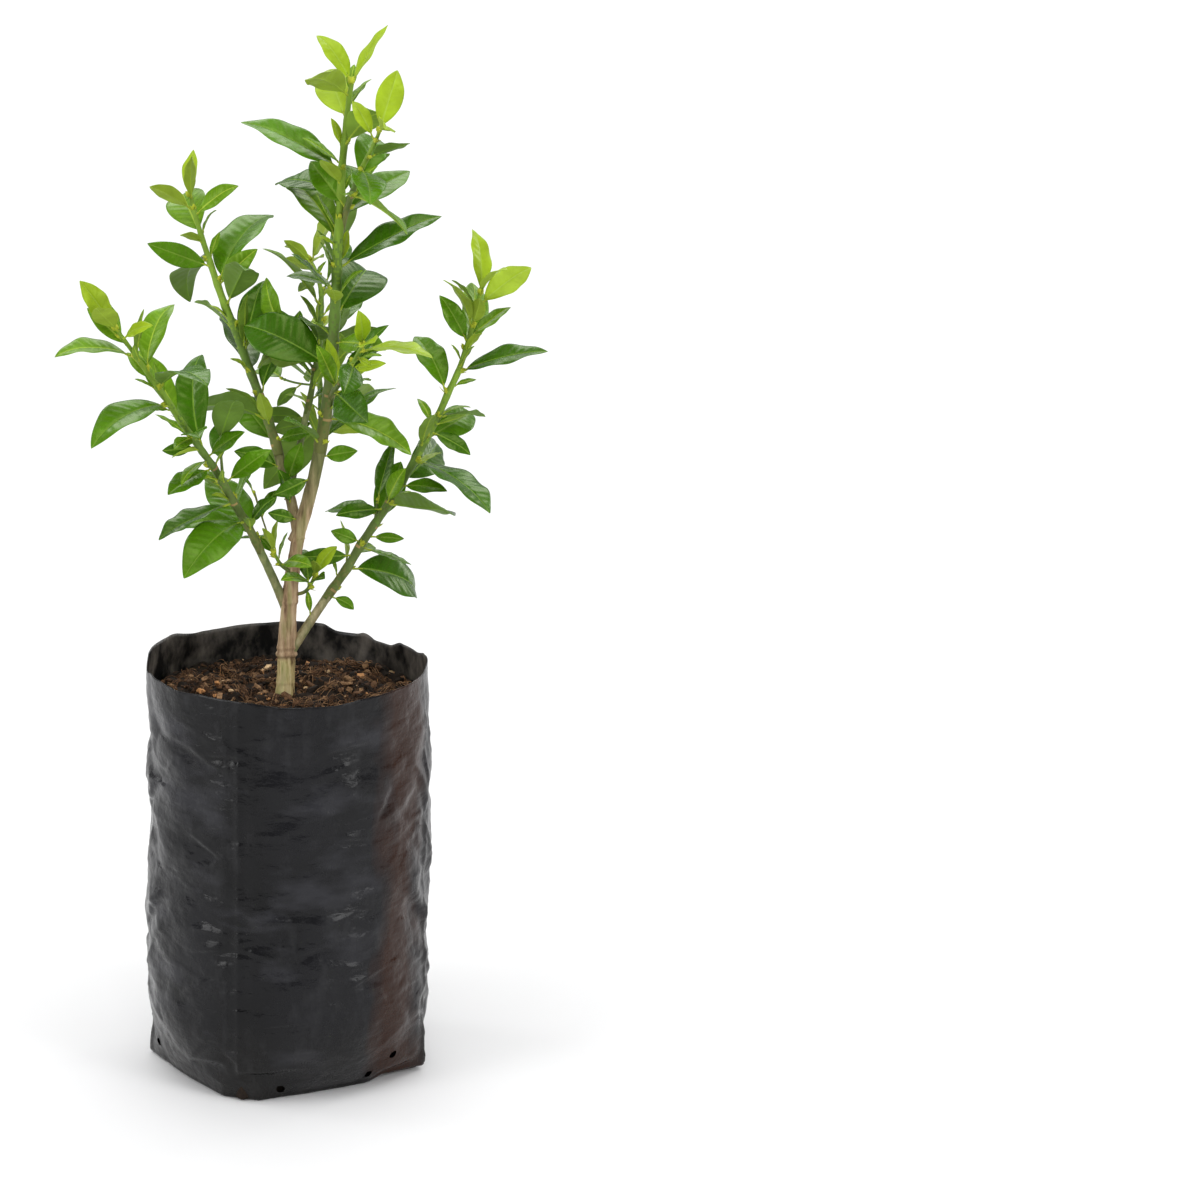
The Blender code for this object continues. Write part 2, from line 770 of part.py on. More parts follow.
def make_bag(collection, cutters, material):
    """The film bag: one open surface with a flat base, given its thickness inwards."""
    bearings = bag_bearings()
    bm = bmesh.new()
    rings = [[on_arc(b, base_radius_at(b) - BASE_EDGE, 0) for b in bearings]]
    for height in (BASE_EDGE, *WALL_RING_HEIGHTS):
        rings.append([on_arc(b, bag_radius_at(b, height), height) for b in bearings])
    rings.append([on_arc(b, BAG_RADIUS, rim_height_at(b) - 12 * MM) for b in bearings])
    rings.append([on_arc(b, BAG_RADIUS, rim_height_at(b)) for b in bearings])
    rings = [[bm.verts.new(point) for point in ring] for ring in rings]
    bm.faces.new(reversed(rings[0]))
    for lower, upper in zip(rings, rings[1:]):
        bridge(bm, lower, upper)
    mesh = bpy.data.meshes.new("grow_bag")
    bm.to_mesh(mesh)
    bm.free()
    bag = new_object("grow_bag", mesh, collection, material)
    wall = bag.modifiers.new("wall", "SOLIDIFY")
    wall.thickness = BAG_WALL
    wall.offset = -1
    wall.use_even_offset = True
    holes = bag.modifiers.new("drainage holes", "BOOLEAN")
    holes.operation = "DIFFERENCE"
    holes.operand_type = "COLLECTION"
    holes.collection = cutters
    holes.solver = "EXACT"
    for bearing, height in DRAINS:
        turned = math.radians(bearing)
        bm = bmesh.new()
        bmesh.ops.create_cone(
            bm,
            segments=10,
            cap_ends=True,
            radius1=DRAIN_RADIUS,
            radius2=DRAIN_RADIUS,
            depth=12 * MM,
        )
        cutter = new_object("drainage_hole", mesh_from(bm, "drainage_hole"), cutters)
        cutter.location = on_arc(turned, bag_radius_at(turned, height), height)
        cutter.rotation_euler = (math.pi / 2, 0, turned + math.pi / 2)
        cutter.hide_render = True
        cutter.display_type = "WIRE"
    for polygon in mesh.polygons:
        polygon.use_smooth = True
    return bag


def make_soil(collection, material):
    """The potting mix: it fills the bag to a little below its rim, with an uneven top."""
    pick = random.Random(SOIL_SEED)
    bearings = bag_bearings()
    depth = BAG_WALL + GAP
    floor = BAG_WALL + GAP
    bm = bmesh.new()
    rings = []
    for height in (floor, floor + BASE_EDGE, *WALL_RING_HEIGHTS, SOIL_TOP):
        edge = BASE_EDGE if height == floor else 0
        ring = []
        for b in bearings:
            inset = wall_inset_at(b, height, depth) + edge
            ring.append(on_arc(b, bag_radius_at(b, height) - inset, height))
        rings.append(ring)
    for radius in reversed(SOIL_RING_RADII):
        ring = []
        for b in bearings:
            rise = SOIL_UNEVENNESS * math.sin(3 * b + 60 * radius) * math.sin(5 * b + 1)
            rise += pick.uniform(-0.3, 0.3) * SOIL_UNEVENNESS
            ring.append(on_arc(b, radius, SOIL_TOP + rise * min(1, radius / (30 * MM))))
        rings.append(ring)
    rings.append([on_arc(b, SOIL_FLAT_RADIUS, SOIL_TOP) for b in bearings])
    rings = [[bm.verts.new(point) for point in ring] for ring in rings]
    bm.faces.new(rings[0])
    for lower, upper in zip(rings, rings[1:]):
        bridge(bm, lower, upper)
    bm.faces.new(rings[-1])
    return new_object("soil", mesh_from(bm, "soil"), collection, material)


def main():
    for obj in list(bpy.data.objects):
        bpy.data.objects.remove(obj)
    parts = bpy.data.collections.new("finger_lime_tree")
    cutters = bpy.data.collections.new("cutters")
    for collection in (parts, cutters):
        bpy.context.scene.collection.children.link(collection)

    film = new_material("black film", (0.018, 0.018, 0.020), 0.35)
    mix = new_material("potting mix", (0.045, 0.024, 0.014), 0.95)
    bark = new_material("tan bark", (0.36, 0.25, 0.14), 0.80)
    green_bark = new_material("green bark", (0.16, 0.21, 0.07), 0.65)
    leaf = new_material("leaf green", (0.055, 0.16, 0.018), 0.40)

    make_bag(parts, cutters, film)
    make_soil(parts, mix)
    stems = {name: Stem(name) for name in CURVES}
    make_trunk(stems["trunk"], parts, bark)
    for name in BOUGHS:
        make_bough(name, stems, parts, green_bark)
    for mass, sprigs in grow_masses(stems).items():
        make_mass(mass, stems, sprigs, parts, leaf)


main()
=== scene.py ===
"""Looks for a young finger lime tree in a black film grow bag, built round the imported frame.

Everything is in metres with +Z up. The origin is the middle of the bag's flat underside.
The stems and leaves grow by the same seeded rule as the solids that they replace, and are
then carried on to petioles, buds, spines and small leaves within the same reach.
"""

import math
import random
from collections import namedtuple

import bpy
import numpy as np
from mathutils import Matrix, Vector
from mathutils.bvhtree import BVHTree


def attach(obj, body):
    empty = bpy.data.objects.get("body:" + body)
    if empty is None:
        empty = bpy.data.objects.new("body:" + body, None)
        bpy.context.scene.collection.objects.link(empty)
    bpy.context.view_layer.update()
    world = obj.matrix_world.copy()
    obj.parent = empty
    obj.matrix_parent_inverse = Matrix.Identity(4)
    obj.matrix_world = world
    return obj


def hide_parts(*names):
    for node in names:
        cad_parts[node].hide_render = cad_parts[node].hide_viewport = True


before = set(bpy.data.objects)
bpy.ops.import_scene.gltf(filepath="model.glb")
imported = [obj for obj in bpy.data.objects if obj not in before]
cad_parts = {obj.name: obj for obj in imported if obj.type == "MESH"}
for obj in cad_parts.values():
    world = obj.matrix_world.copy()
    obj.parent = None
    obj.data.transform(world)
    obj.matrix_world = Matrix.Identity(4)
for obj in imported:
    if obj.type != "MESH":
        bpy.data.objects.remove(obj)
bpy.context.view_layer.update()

MM = 0.001
FULL_TURN = 2 * math.pi
IMAGE_SIZE = 1200

# Room kept between a leaf or twig and whatever grew before it
ELBOW_ROOM = 0.8 * MM

# Grow bag
BAG_RADIUS = 75 * MM
RIM_HEIGHT = 225.5 * MM
# Each rise (or dip) of the rim: bearing and half width in degrees, height
RIM_WAVES = (
    (67, 8, -3.5 * MM),
    (49, 8, -5.5 * MM),
    (30, 10, -2.5 * MM),
    (1, 9, 2.0 * MM),
    (161, 17, 4.0 * MM),
    (187, 7, -2.0 * MM),
    (280, 16, -1.5 * MM),
)
BASE_CORNER_BEARINGS = (-108, -12, 80, 175)
BASE_CORNER_RADIUS = 76 * MM
BASE_SIDE_BULGE = 0.10
BASE_EDGE = 2.5 * MM
GUSSET_HEIGHT = 44 * MM
DRAIN_RADIUS = 2.5 * MM
# Each drainage hole: bearing in degrees, height above the floor
DRAINS = (
    (-172, 12 * MM),
    (-91, 6 * MM),
    (-33, 17 * MM),
    (-43, 7 * MM),
    (30, 13 * MM),
    (95, 22 * MM),
    (140, 11 * MM),
)
SOIL_TOP = 207 * MM

# Each stem's curve in mm: its base, the way it leaves it, the way it arrives, and its tip
CURVES = {
    "trunk": ((-2, 0, 207), (2, 0, 38), (7, 0, 35), (6, 0, 299)),
    "leader": ((5, 0, 297), (28, -2, 88), (12, -2, 79), (33, -6, 544)),
    "left_low": ((-3, 0, 260), (-28, -24, 79), (-30, -24, 56), (-85, -76, 428)),
    "left_mid": ((5, 0, 298), (-16, 21, 72), (-19, 24, 63), (-56, 68, 465)),
    "right": ((3, 0, 235), (39, 14, 59), (11, 18, 63), (100, 50, 418)),
    "centre": ((0, 6, 317), (17, 20, 80), (-12, 26, 13), (8, 78, 428)),
    "back": ((11, 0, 322), (9, 26, 20), (-2, 36, 24), (11, 98, 383)),
    "leader_side": ((27, 0, 461), (7, -14, 33), (10, -16, 28), (49, -48, 528)),
    "leader_low_side": ((21, 0, 371), (5, -18, 12), (6, -20, 18), (41, -60, 417)),
    "sprout_left": ((3, -1, 276), (-5, -4, 3), (-1, -2, 5), (-7, -8, 289)),
    "sprout_right": ((5, -1, 264), (6, -4, 2), (2, -2, 5), (14, -7, 276)),
}

# Trunk: radius in mm at each share of its length, with the flare, two nodes and the fork
TRUNK_RADII = (
    (0.00, 5.5),
    (0.05, 4.9),
    (0.18, 4.7),
    (0.25, 5.3),
    (0.31, 4.8),
    (0.52, 4.3),
    (0.60, 4.6),
    (0.68, 3.9),
    (0.88, 3.4),
    (1.00, 3.5),
)

# Each stem's bare share, radius at base and tip in mm, and the seed of each flush of leaves
Growth = namedtuple("Growth", "bare base_radius tip_radius leaf spacing flushes")
GROWTH = {
    "leader": Growth(0.17, 3.6, 1.2, 60, 13.5,
        (603120, 619676, 620464, 715386, 702224, 709241, 608025, 639643)
    ),
    "left_low": Growth(0.14, 2.6, 1.0, 60, 13.5, (611601, 604870, 701010, 711461, 705305, 712872)),
    "left_mid": Growth(0.20, 2.9, 1.1, 60, 13.5, (620597, 706770, 652435, 619177, 624177)),
    "right": Growth(0.14, 3.0, 1.2, 60, 13.5,
        (608564, 642805, 634690, 610268, 649980, 643745, 619838)
    ),
    "centre": Growth(0.20, 1.8, 0.9, 50, 13.5, (714395, 631687, 701619, 705146)),
    "back": Growth(0.25, 1.8, 0.9, 52, 13.5, (617528, 703887, 409373)),
    "leader_side": Growth(0.12, 1.7, 0.9, 50, 13.5, (626606, 645597)),
    "leader_low_side": Growth(0.15, 1.5, 0.8, 55, 13.5, (643442, 716288)),
    "sprout_left": Growth(0.35, 1.0, 0.7, 28, 6.0, (711736,)),
    "sprout_right": Growth(0.35, 1.0, 0.7, 28, 6.0, (638843,)),
}
MASSES = {
    "foliage_leader": ("leader", "leader_side", "leader_low_side"),
    "foliage_left_low": ("left_low",),
    "foliage_left_mid": ("left_mid",),
    "foliage_right": ("right",),
    "foliage_centre": ("centre",),
    "foliage_back": ("back",),
    "foliage_sprout_left": ("sprout_left",),
    "foliage_sprout_right": ("sprout_right",),
}
# Each bare bough, and how far its root runs back into its parent in mm
BOUGHS = {"leader": 4, "left_mid": 4, "left_low": 9, "right": 6, "centre": 3, "back": 3}

# Growth rule
GOLDEN_ANGLE = 137.5
LEAF_LIFT = 0.35
TWIG_CHANCE = 0.45
TWIG_BARE_END = 0.85
TWIG_SHARE = 0.45
TWIG_TIP_RADIUS = 0.6 * MM
OWN_WOOD = 14 * MM
BLADE_STATIONS = (0.05, 0.20, 0.42, 0.66, 0.87)
BLADE_END = 0.98
LEAF_THICKNESS = 0.02
LEAF_FOLD = 0.16
TERMINAL_SINK = 1.6 * MM


# Limbs whose mesh is a little slimmer than the rule's room for them
SLIMMER = {"right": 0.86, "left_low": 0.93}


# Growth, by the same rule and seeds as the solids


class Stem:
    """A cubic curve from a base to a tip, with a radius that tapers along it."""

    def __init__(self, name):
        base, leave, arrive, tip = (MM * Vector(point) for point in CURVES[name])
        self.controls = (base, base + leave, tip - arrive, tip)
        growth = GROWTH.get(name)
        self.slimness = SLIMMER.get(name, 1.0)
        if growth:
            self.bare = growth.bare
            middle = (growth.base_radius + growth.tip_radius) / 2
            self.radii = ((0.0, growth.base_radius), (0.7, middle), (1.0, growth.tip_radius))
            self.leaf = growth.leaf * MM
            self.spacing = growth.spacing * MM
            self.flushes = growth.flushes
        else:
            self.radii = TRUNK_RADII
        samples = [self.point(i / 24) for i in range(25)]
        self.length = sum((b - a).length for a, b in zip(samples, samples[1:]))

    def point(self, share):
        return cubic_point(self.controls, share)

    def direction(self, share):
        return cubic_direction(self.controls, share)

    def radius(self, share):
        for (start, first), (end, last) in zip(self.radii, self.radii[1:]):
            if share <= end:
                return MM * (first + (last - first) * (share - start) / (end - start))
        return MM * self.radii[-1][1]

    def leaf_shares(self):
        count = max(2, round((1 - self.bare) * self.length / self.spacing))
        return [self.bare + (1 - self.bare) * (i + 0.5) / count for i in range(count)]


def cubic_point(controls, share):
    a, b, c, d = controls
    rest = 1 - share
    return a * rest**3 + b * (3 * share * rest**2) + c * (3 * share**2 * rest) + d * share**3


def cubic_direction(controls, share):
    a, b, c, d = controls
    rest = 1 - share
    return ((b - a) * rest**2 + (c - b) * (2 * share * rest) + (d - c) * share**2).normalized()


Leaf = namedtuple("Leaf", "root base along normal side length width droop petiole young")
Twig = namedtuple("Twig", "controls base_radius")
Sprig = namedtuple("Sprig", "twig leaves")


def drawn_angle(pick, low, high):
    """An angle drawn between two limits in degrees."""
    return math.radians(pick.uniform(low, high))


def across(along, bearing):
    """The direction at right angles to a stem that has this bearing round it."""
    sideways = along.cross(Vector((0, 1, 0)))
    sideways = sideways.normalized() if sideways.length > 0.001 else Vector((1, 0, 0))
    return sideways * math.cos(bearing) - sideways.cross(along) * math.sin(bearing)


def new_leaf(base, stem_way, outward, spread, length, aspect, droop, roll, petiole, young, sink=0.0):
    """A leaf that leaves its stem by the spread angle, with its face turned towards the light."""
    along = stem_way * math.cos(spread) + outward * math.sin(spread)
    normal = stem_way * math.sin(spread) - outward * math.cos(spread)
    light = Vector((0, 0, 1)) - along * along.z
    if light.length > 0.01:
        normal = normal * (1 - LEAF_LIFT) + light.normalized() * LEAF_LIFT
    normal = (normal - along * along.dot(normal)).normalized()
    side = along.cross(normal)
    normal = normal * math.cos(roll) + side * math.sin(roll)
    side = along.cross(normal)
    root = base - sink * stem_way
    return Leaf(root, base, along, normal, side, length, length * aspect, droop, petiole, young)


def grow_sprig(pick, stem, point, along, bearing, radius, young):
    """A short twig beside a leaf, with a few smaller leaves and one more at its tip."""
    outward = across(along, bearing + drawn_angle(pick, -35, 35))
    angle = drawn_angle(pick, 22, 60)
    length = pick.uniform(0.010, 0.034)
    way = (along * math.cos(angle) + outward * math.sin(angle)).normalized()
    tip = point + way * length + Vector((0, 0, length * 0.1))
    controls = (point, point + way * (length / 3), point + way * (length * 2 / 3), tip)
    count = pick.randint(1, 3)
    leaves = []
    for i in range(count + 1):
        last = i == count
        share = 1.0 if last else (i + 1) / (count + 1)
        twig_way = cubic_direction(controls, share)
        spread = pick.uniform(5, 40) if last else pick.uniform(35, 80)
        leaf_way = across(twig_way, bearing + math.radians(180 * i + 90 + pick.uniform(-45, 45)))
        leaves.append(
            new_leaf(
                cubic_point(controls, share),
                twig_way,
                leaf_way,
                math.radians(spread),
                stem.leaf * pick.uniform(0.28, 0.62),
                pick.uniform(0.40, 0.50),
                drawn_angle(pick, 0, 50),
                drawn_angle(pick, -50, 50),
                0.003,
                young * 0.8 + 0.15,
                sink=TERMINAL_SINK if last else 0.0,
            )
        )
    return Sprig(Twig(controls, radius * TWIG_SHARE), leaves)


def grow_tip(pick, stem, bearing):
    """The pair of young leaves that ends a stem."""
    along = stem.direction(1.0)
    leaves = []
    for i in range(2):
        outward = across(along, bearing + math.radians(150 * (i + 1) + pick.uniform(-40, 40)))
        leaves.append(
            new_leaf(
                stem.point(1.0),
                along,
                outward,
                drawn_angle(pick, 5, 45),
                stem.leaf * pick.uniform(0.40, 0.68),
                pick.uniform(0.40, 0.48),
                drawn_angle(pick, -10, 35),
                drawn_angle(pick, -50, 50),
                0.003,
                1.0,
                sink=TERMINAL_SINK,
            )
        )
    return leaves


def grow_flush(stem, flush):
    """One flush of a stem, from its base up: sprigs, and leaves as sprigs with no twig."""
    shares = stem.leaf_shares()
    total = len(shares)
    first = round(flush * total / len(stem.flushes))
    end = round((flush + 1) * total / len(stem.flushes))
    pick = random.Random(stem.flushes[flush])
    start = pick.uniform(0, FULL_TURN)
    grown = []
    for i in range(first, end):
        share = shares[i]
        along = stem.direction(share)
        point = stem.point(share)
        radius = stem.radius(share)
        bearing = start + math.radians(GOLDEN_ANGLE * (i - first) + pick.uniform(-40, 40))
        outward = across(along, bearing)
        way_up = (share - stem.bare) / (1 - stem.bare)
        young = max(0.0, min(1.0, (way_up - 0.7) / 0.3))
        length = stem.leaf * (1 - 0.3 * young) * pick.uniform(0.38, 1.0)
        spread = math.radians(pick.uniform(30, 85) * (1 - 0.25 * young))
        aspect = pick.uniform(0.38, 0.50)
        droop = drawn_angle(pick, -5, 60)
        roll = drawn_angle(pick, -50, 50)
        petiole = 0.003 + 0.03 * length
        base = point + outward * (radius * 0.5)
        leaf = new_leaf(base, along, outward, spread, length, aspect, droop, roll, petiole, young)
        grown.append(Sprig(None, [leaf]))
        if pick.uniform(0, 1) < TWIG_CHANCE and way_up < TWIG_BARE_END:
            grown.append(grow_sprig(pick, stem, point, along, bearing, radius, young))
        if i == total - 1:
            grown.extend(Sprig(None, [leaf]) for leaf in grow_tip(pick, stem, bearing))
    return grown


def grow(stem):
    """All that grows on a stem, flush by flush."""
    return [sprig for flush in range(len(stem.flushes)) for sprig in grow_flush(stem, flush)]


def blade_point(leaf, share, sideways, lift=0.0):
    """A point of the drooping blade: sideways and lift run from its midrib."""
    bend = leaf.droop if abs(leaf.droop) > 0.001 else 0.001
    angle = bend * share
    middle = leaf.base + leaf.along * (leaf.petiole + leaf.length * math.sin(angle) / bend)
    middle = middle - leaf.normal * (leaf.length * (1 - math.cos(angle)) / bend)
    up = leaf.normal * math.cos(angle) + leaf.along * math.sin(angle)
    return middle + leaf.side * sideways + up * lift


def half_width(leaf, share):
    """Half the blade's width: widest a little below its middle, drawn out to a point."""
    return leaf.width / 2 * math.sin(math.pi * share**0.95) ** 0.85


def blade_rings(leaf, stations, room=0.0):
    """Four-point sections of the blade, folded up a little along its midrib."""
    thickness = LEAF_THICKNESS * leaf.length / 2 + room
    rings = []
    for share in stations:
        half = half_width(leaf, share) + room
        fold = LEAF_FOLD * half
        rings.append(
            (
                blade_point(leaf, share, -half, fold),
                blade_point(leaf, share, 0, thickness),
                blade_point(leaf, share, half, fold),
                blade_point(leaf, share, 0, -thickness),
            )
        )
    return rings


def shell_faces(ring_count, sides):
    """Faces of the band through rings whose points are listed one after another."""
    faces = []
    for ring in range(ring_count - 1):
        for i in range(sides):
            j = (i + 1) % sides
            low = ring * sides
            faces.append((low + i, low + j, low + sides + j, low + sides + i))
    return faces


def tree_of(rings):
    """A search tree of the band through some rings, with the sphere that it fits in."""
    points = [point for ring in rings for point in ring]
    centre = sum(points, Vector()) / len(points)
    reach = max((point - centre).length for point in points)
    tree = BVHTree.FromPolygons(points, shell_faces(len(rings), len(rings[0])))
    return tree, centre, reach


def wood_ring(centre, along, radius, sides=6):
    return [centre + radius * across(along, FULL_TURN * i / sides) for i in range(sides)]


class Crowd:
    """All that has grown so far, to keep what grows next clear of it."""

    def __init__(self):
        self.wood = []
        self.blades = []

    def add_wood(self, owner, controls, radius_at, start, end):
        """Short lengths of wood from one share of a curve to another."""
        count = max(2, round((end - start) * (controls[3] - controls[0]).length / (6 * MM)))
        shares = [start + (end - start) * i / count for i in range(count + 1)]
        rings = [
            wood_ring(cubic_point(controls, share), cubic_direction(controls, share), radius_at(share))
            for share in shares
        ]
        for pair in zip(rings, rings[1:]):
            self.wood.append((owner, *tree_of(pair)))

    def add_blade(self, leaf):
        self.blades.append(tree_of(blade_rings(leaf, BLADE_STATIONS + (BLADE_END,))))

    def meets(self, shape, owner, near):
        """Whether a shape meets a blade, or any wood but its owner's beside its own root."""
        tree, centre, reach = shape
        for blade, middle, size in self.blades:
            if (middle - centre).length < size + reach and tree.overlap(blade):
                return True
        for wood_owner, wood, middle, size in self.wood:
            if (middle - centre).length > size + reach:
                continue
            if wood_owner == owner and (middle - near).length < OWN_WOOD:
                continue
            if tree.overlap(wood):
                return True
        return False

    def leaf_meets(self, leaf, owner):
        guard = tree_of(blade_rings(leaf, (0.12,) + BLADE_STATIONS[1:] + (BLADE_END,), ELBOW_ROOM))
        return self.meets(guard, owner, leaf.base)

    def twig_meets(self, twig, owner):
        rings = [
            wood_ring(
                cubic_point(twig.controls, share),
                cubic_direction(twig.controls, share),
                twig.base_radius,
            )
            for share in (0.45, 0.72, 1.0)
        ]
        return self.meets(tree_of(rings), owner, twig.controls[0])


def grow_masses(stems):
    """For each mass, the twigs and leaves that are kept, with those that meet others skipped."""
    crowd = Crowd()
    trunk = stems["trunk"]
    crowd.add_wood("trunk", trunk.controls, trunk.radius, 0, 1)
    for name in BOUGHS:
        stem = stems[name]
        crowd.add_wood("bough_" + name, stem.controls, stem.radius, 0, stem.bare)
    for mass, names in MASSES.items():
        for name in names:
            stem = stems[name]
            start = stem.bare if name in BOUGHS else 0
            crowd.add_wood(mass, stem.controls, stem.radius, start, 1)
    kept = {}
    for mass, names in MASSES.items():
        kept[mass] = []
        for name in names:
            for sprig in grow(stems[name]):
                twig = sprig.twig
                if twig and crowd.twig_meets(twig, mass):
                    continue
                leaves = []
                for leaf in sprig.leaves:
                    if not crowd.leaf_meets(leaf, mass):
                        crowd.add_blade(leaf)
                        leaves.append(leaf)
                if twig:
                    crowd.add_wood(mass, twig.controls, lambda _, r=twig.base_radius: r, 0.2, 1)
                kept[mass].append(Sprig(twig, leaves))
    return kept, crowd


# Mesh tools


def lattice(cells, seed):
    """A repeatable value from -1 to 1 for each whole-number place."""
    cells = cells.astype(np.int64) + 100000
    n = cells[..., 0] * 73856093
    n = n ^ (cells[..., 1] * 19349663)
    if cells.shape[-1] > 2:
        n = n ^ (cells[..., 2] * 83492791)
    n = (n ^ (seed * 7919 + 17)) & 0xFFFFFFFF
    n = (n ^ (n >> 15)) * 2246822519 & 0xFFFFFFFF
    n = (n ^ (n >> 13)) * 3266489917 & 0xFFFFFFFF
    n = n ^ (n >> 16)
    return n / 2147483647.5 - 1


def noise(points, size, seed=0):
    """Smooth noise from -1 to 1 at an array of points, with features of about this size."""
    scaled = np.asarray(points) / size
    cell = np.floor(scaled)
    part = scaled - cell
    part = part * part * (3 - 2 * part)
    axes = scaled.shape[-1]
    total = np.zeros(scaled.shape[:-1])
    for corner in range(2**axes):
        step = np.array([(corner >> axis) & 1 for axis in range(axes)])
        weight = np.prod(np.where(step == 1, part, 1 - part), axis=-1)
        total += weight * lattice(cell + step, seed)
    return total


def layered_noise(points, size, seed=0, layers=3):
    """Noise with finer and fainter layers added."""
    points = np.asarray(points)
    total = np.zeros(points.shape[:-1])
    for layer in range(layers):
        total += noise(points, size / 2**layer, seed + 31 * layer) / 2**layer
    return total


class Pile:
    """Many small forms gathered into one joined mesh, each face with its own material slot."""

    def __init__(self):
        self.points = []
        self.quads = []
        self.slots = []
        self.count = 0

    def add(self, points, quads, slots):
        """Points as an array, quads as an array of their indices, and one slot or one per quad."""
        points = np.asarray(points, float).reshape(-1, 3)
        quads = np.asarray(quads, np.int64).reshape(-1, 4)
        self.points.append(points)
        self.quads.append(quads + self.count)
        self.slots.append(np.broadcast_to(np.asarray(slots), (len(quads),)).astype(np.int32))
        self.count += len(points)

    def make(self, name, materials, smooth=True):
        """The mesh object. A quad whose last two indices are equal becomes a triangle."""
        points = np.concatenate(self.points)
        quads = np.concatenate(self.quads)
        slots = np.concatenate(self.slots)
        threes = quads[:, 2] == quads[:, 3]
        sizes = np.where(threes, 3, 4).astype(np.int32)
        corners = np.ones(quads.shape, bool)
        corners[threes, 3] = False
        loops = quads[corners].astype(np.int32)
        starts = np.concatenate([[0], np.cumsum(sizes)[:-1]]).astype(np.int32)
        mesh = bpy.data.meshes.new(name)
        mesh.vertices.add(len(points))
        mesh.vertices.foreach_set("co", points.astype(np.float32).ravel())
        mesh.loops.add(len(loops))
        mesh.loops.foreach_set("vertex_index", loops)
        mesh.polygons.add(len(quads))
        mesh.polygons.foreach_set("loop_start", starts)
        mesh.polygons.foreach_set("loop_total", sizes)
        mesh.polygons.foreach_set("material_index", slots)
        mesh.polygons.foreach_set("use_smooth", np.full(len(quads), smooth))
        mesh.update(calc_edges=True)
        mesh.validate()
        for material in materials:
            mesh.materials.append(material)
        obj = bpy.data.objects.new(name, mesh)
        bpy.context.scene.collection.objects.link(obj)
        return obj


def grid_quads(rows, columns, closed=False, flip=False):
    """Quads of a grid of points listed row by row; closed joins its last column to its first."""
    across_count = columns if closed else columns - 1
    row, column = np.meshgrid(np.arange(rows - 1), np.arange(across_count), indexing="ij")
    right = (column + 1) % columns
    quads = np.stack(
        (
            row * columns + column,
            row * columns + right,
            (row + 1) * columns + right,
            (row + 1) * columns + column,
        ),
        axis=-1,
    ).reshape(-1, 4)
    return quads[:, ::-1] if flip else quads


def turns(count):
    """Evenly spaced angles round a full turn."""
    return np.arange(count) * FULL_TURN / count


def round_points(radius, turn, height):
    """Points at a radius and a bearing round the middle, all or each at its height."""
    x = radius * np.cos(turn)
    return np.stack((x, radius * np.sin(turn), np.broadcast_to(height, x.shape)), axis=-1)


def fan_quads(first, sides, hub, flip=False):
    """Triangles from the ring of points that starts at first to one point in its middle."""
    ring = np.arange(sides)
    after = (ring + 1) % sides
    if flip:
        ring, after = after, ring
    hubs = np.full(sides, hub)
    return np.stack((first + ring, first + after, hubs, hubs), axis=-1)


def smooth_step(value):
    value = np.clip(value, 0, 1)
    return value * value * (3 - 2 * value)


def frames_along(centres):
    """Two directions square to a line at each of its points, turning as little as possible."""
    centres = np.asarray(centres, float)
    ways = np.gradient(centres, axis=0)
    ways /= np.linalg.norm(ways, axis=1)[:, None]
    first = np.cross(ways[0], (0.0, 1.0, 0.0))
    if np.linalg.norm(first) < 0.001:
        first = np.array((1.0, 0.0, 0.0))
    firsts = []
    for way in ways:
        first = first - way * first.dot(way)
        first /= np.linalg.norm(first)
        firsts.append(first)
    firsts = np.array(firsts)
    return ways, firsts, np.cross(ways, firsts)


def tube_points(centres, radii, sides):
    """Points of a tube, ring by ring. Radii hold one value a ring, or one for every point."""
    _, firsts, seconds = frames_along(centres)
    turn = turns(sides)
    radii = np.asarray(radii, float)
    if radii.ndim == 1:
        radii = radii[:, None]
    spokes = (
        firsts[:, None, :] * np.cos(turn)[None, :, None]
        + seconds[:, None, :] * np.sin(turn)[None, :, None]
    )
    return np.asarray(centres, float)[:, None, :] + spokes * radii[..., None]


def add_tube(pile, centres, radii, sides, slots):
    """A tube whose far end is closed by a small cap."""
    rings = tube_points(centres, radii, sides)
    count = len(rings)
    ways = frames_along(centres)[0]
    tip_radius = float(np.mean(np.asarray(radii)[-1]))
    tip = np.asarray(centres[-1]) + ways[-1] * (tip_radius * 0.7)
    root = np.asarray(centres[0]) - ways[0] * 0.0001
    points = np.concatenate([rings.reshape(-1, 3), [tip, root]])
    quads = grid_quads(count, sides, closed=True)
    ends = fan_quads((count - 1) * sides, sides, count * sides)
    roots = fan_quads(0, sides, count * sides + 1, flip=True)
    slots = np.asarray(slots)
    if slots.ndim == 0:
        slots = np.full(count - 1, int(slots))
    if slots.ndim == 1:
        slots = np.repeat(slots, sides)
    all_slots = np.concatenate(
        [slots.ravel(), np.full(sides, slots.ravel()[-1]), np.full(sides, slots.ravel()[0])]
    )
    pile.add(points, np.concatenate([quads, ends, roots]), all_slots)


# Materials


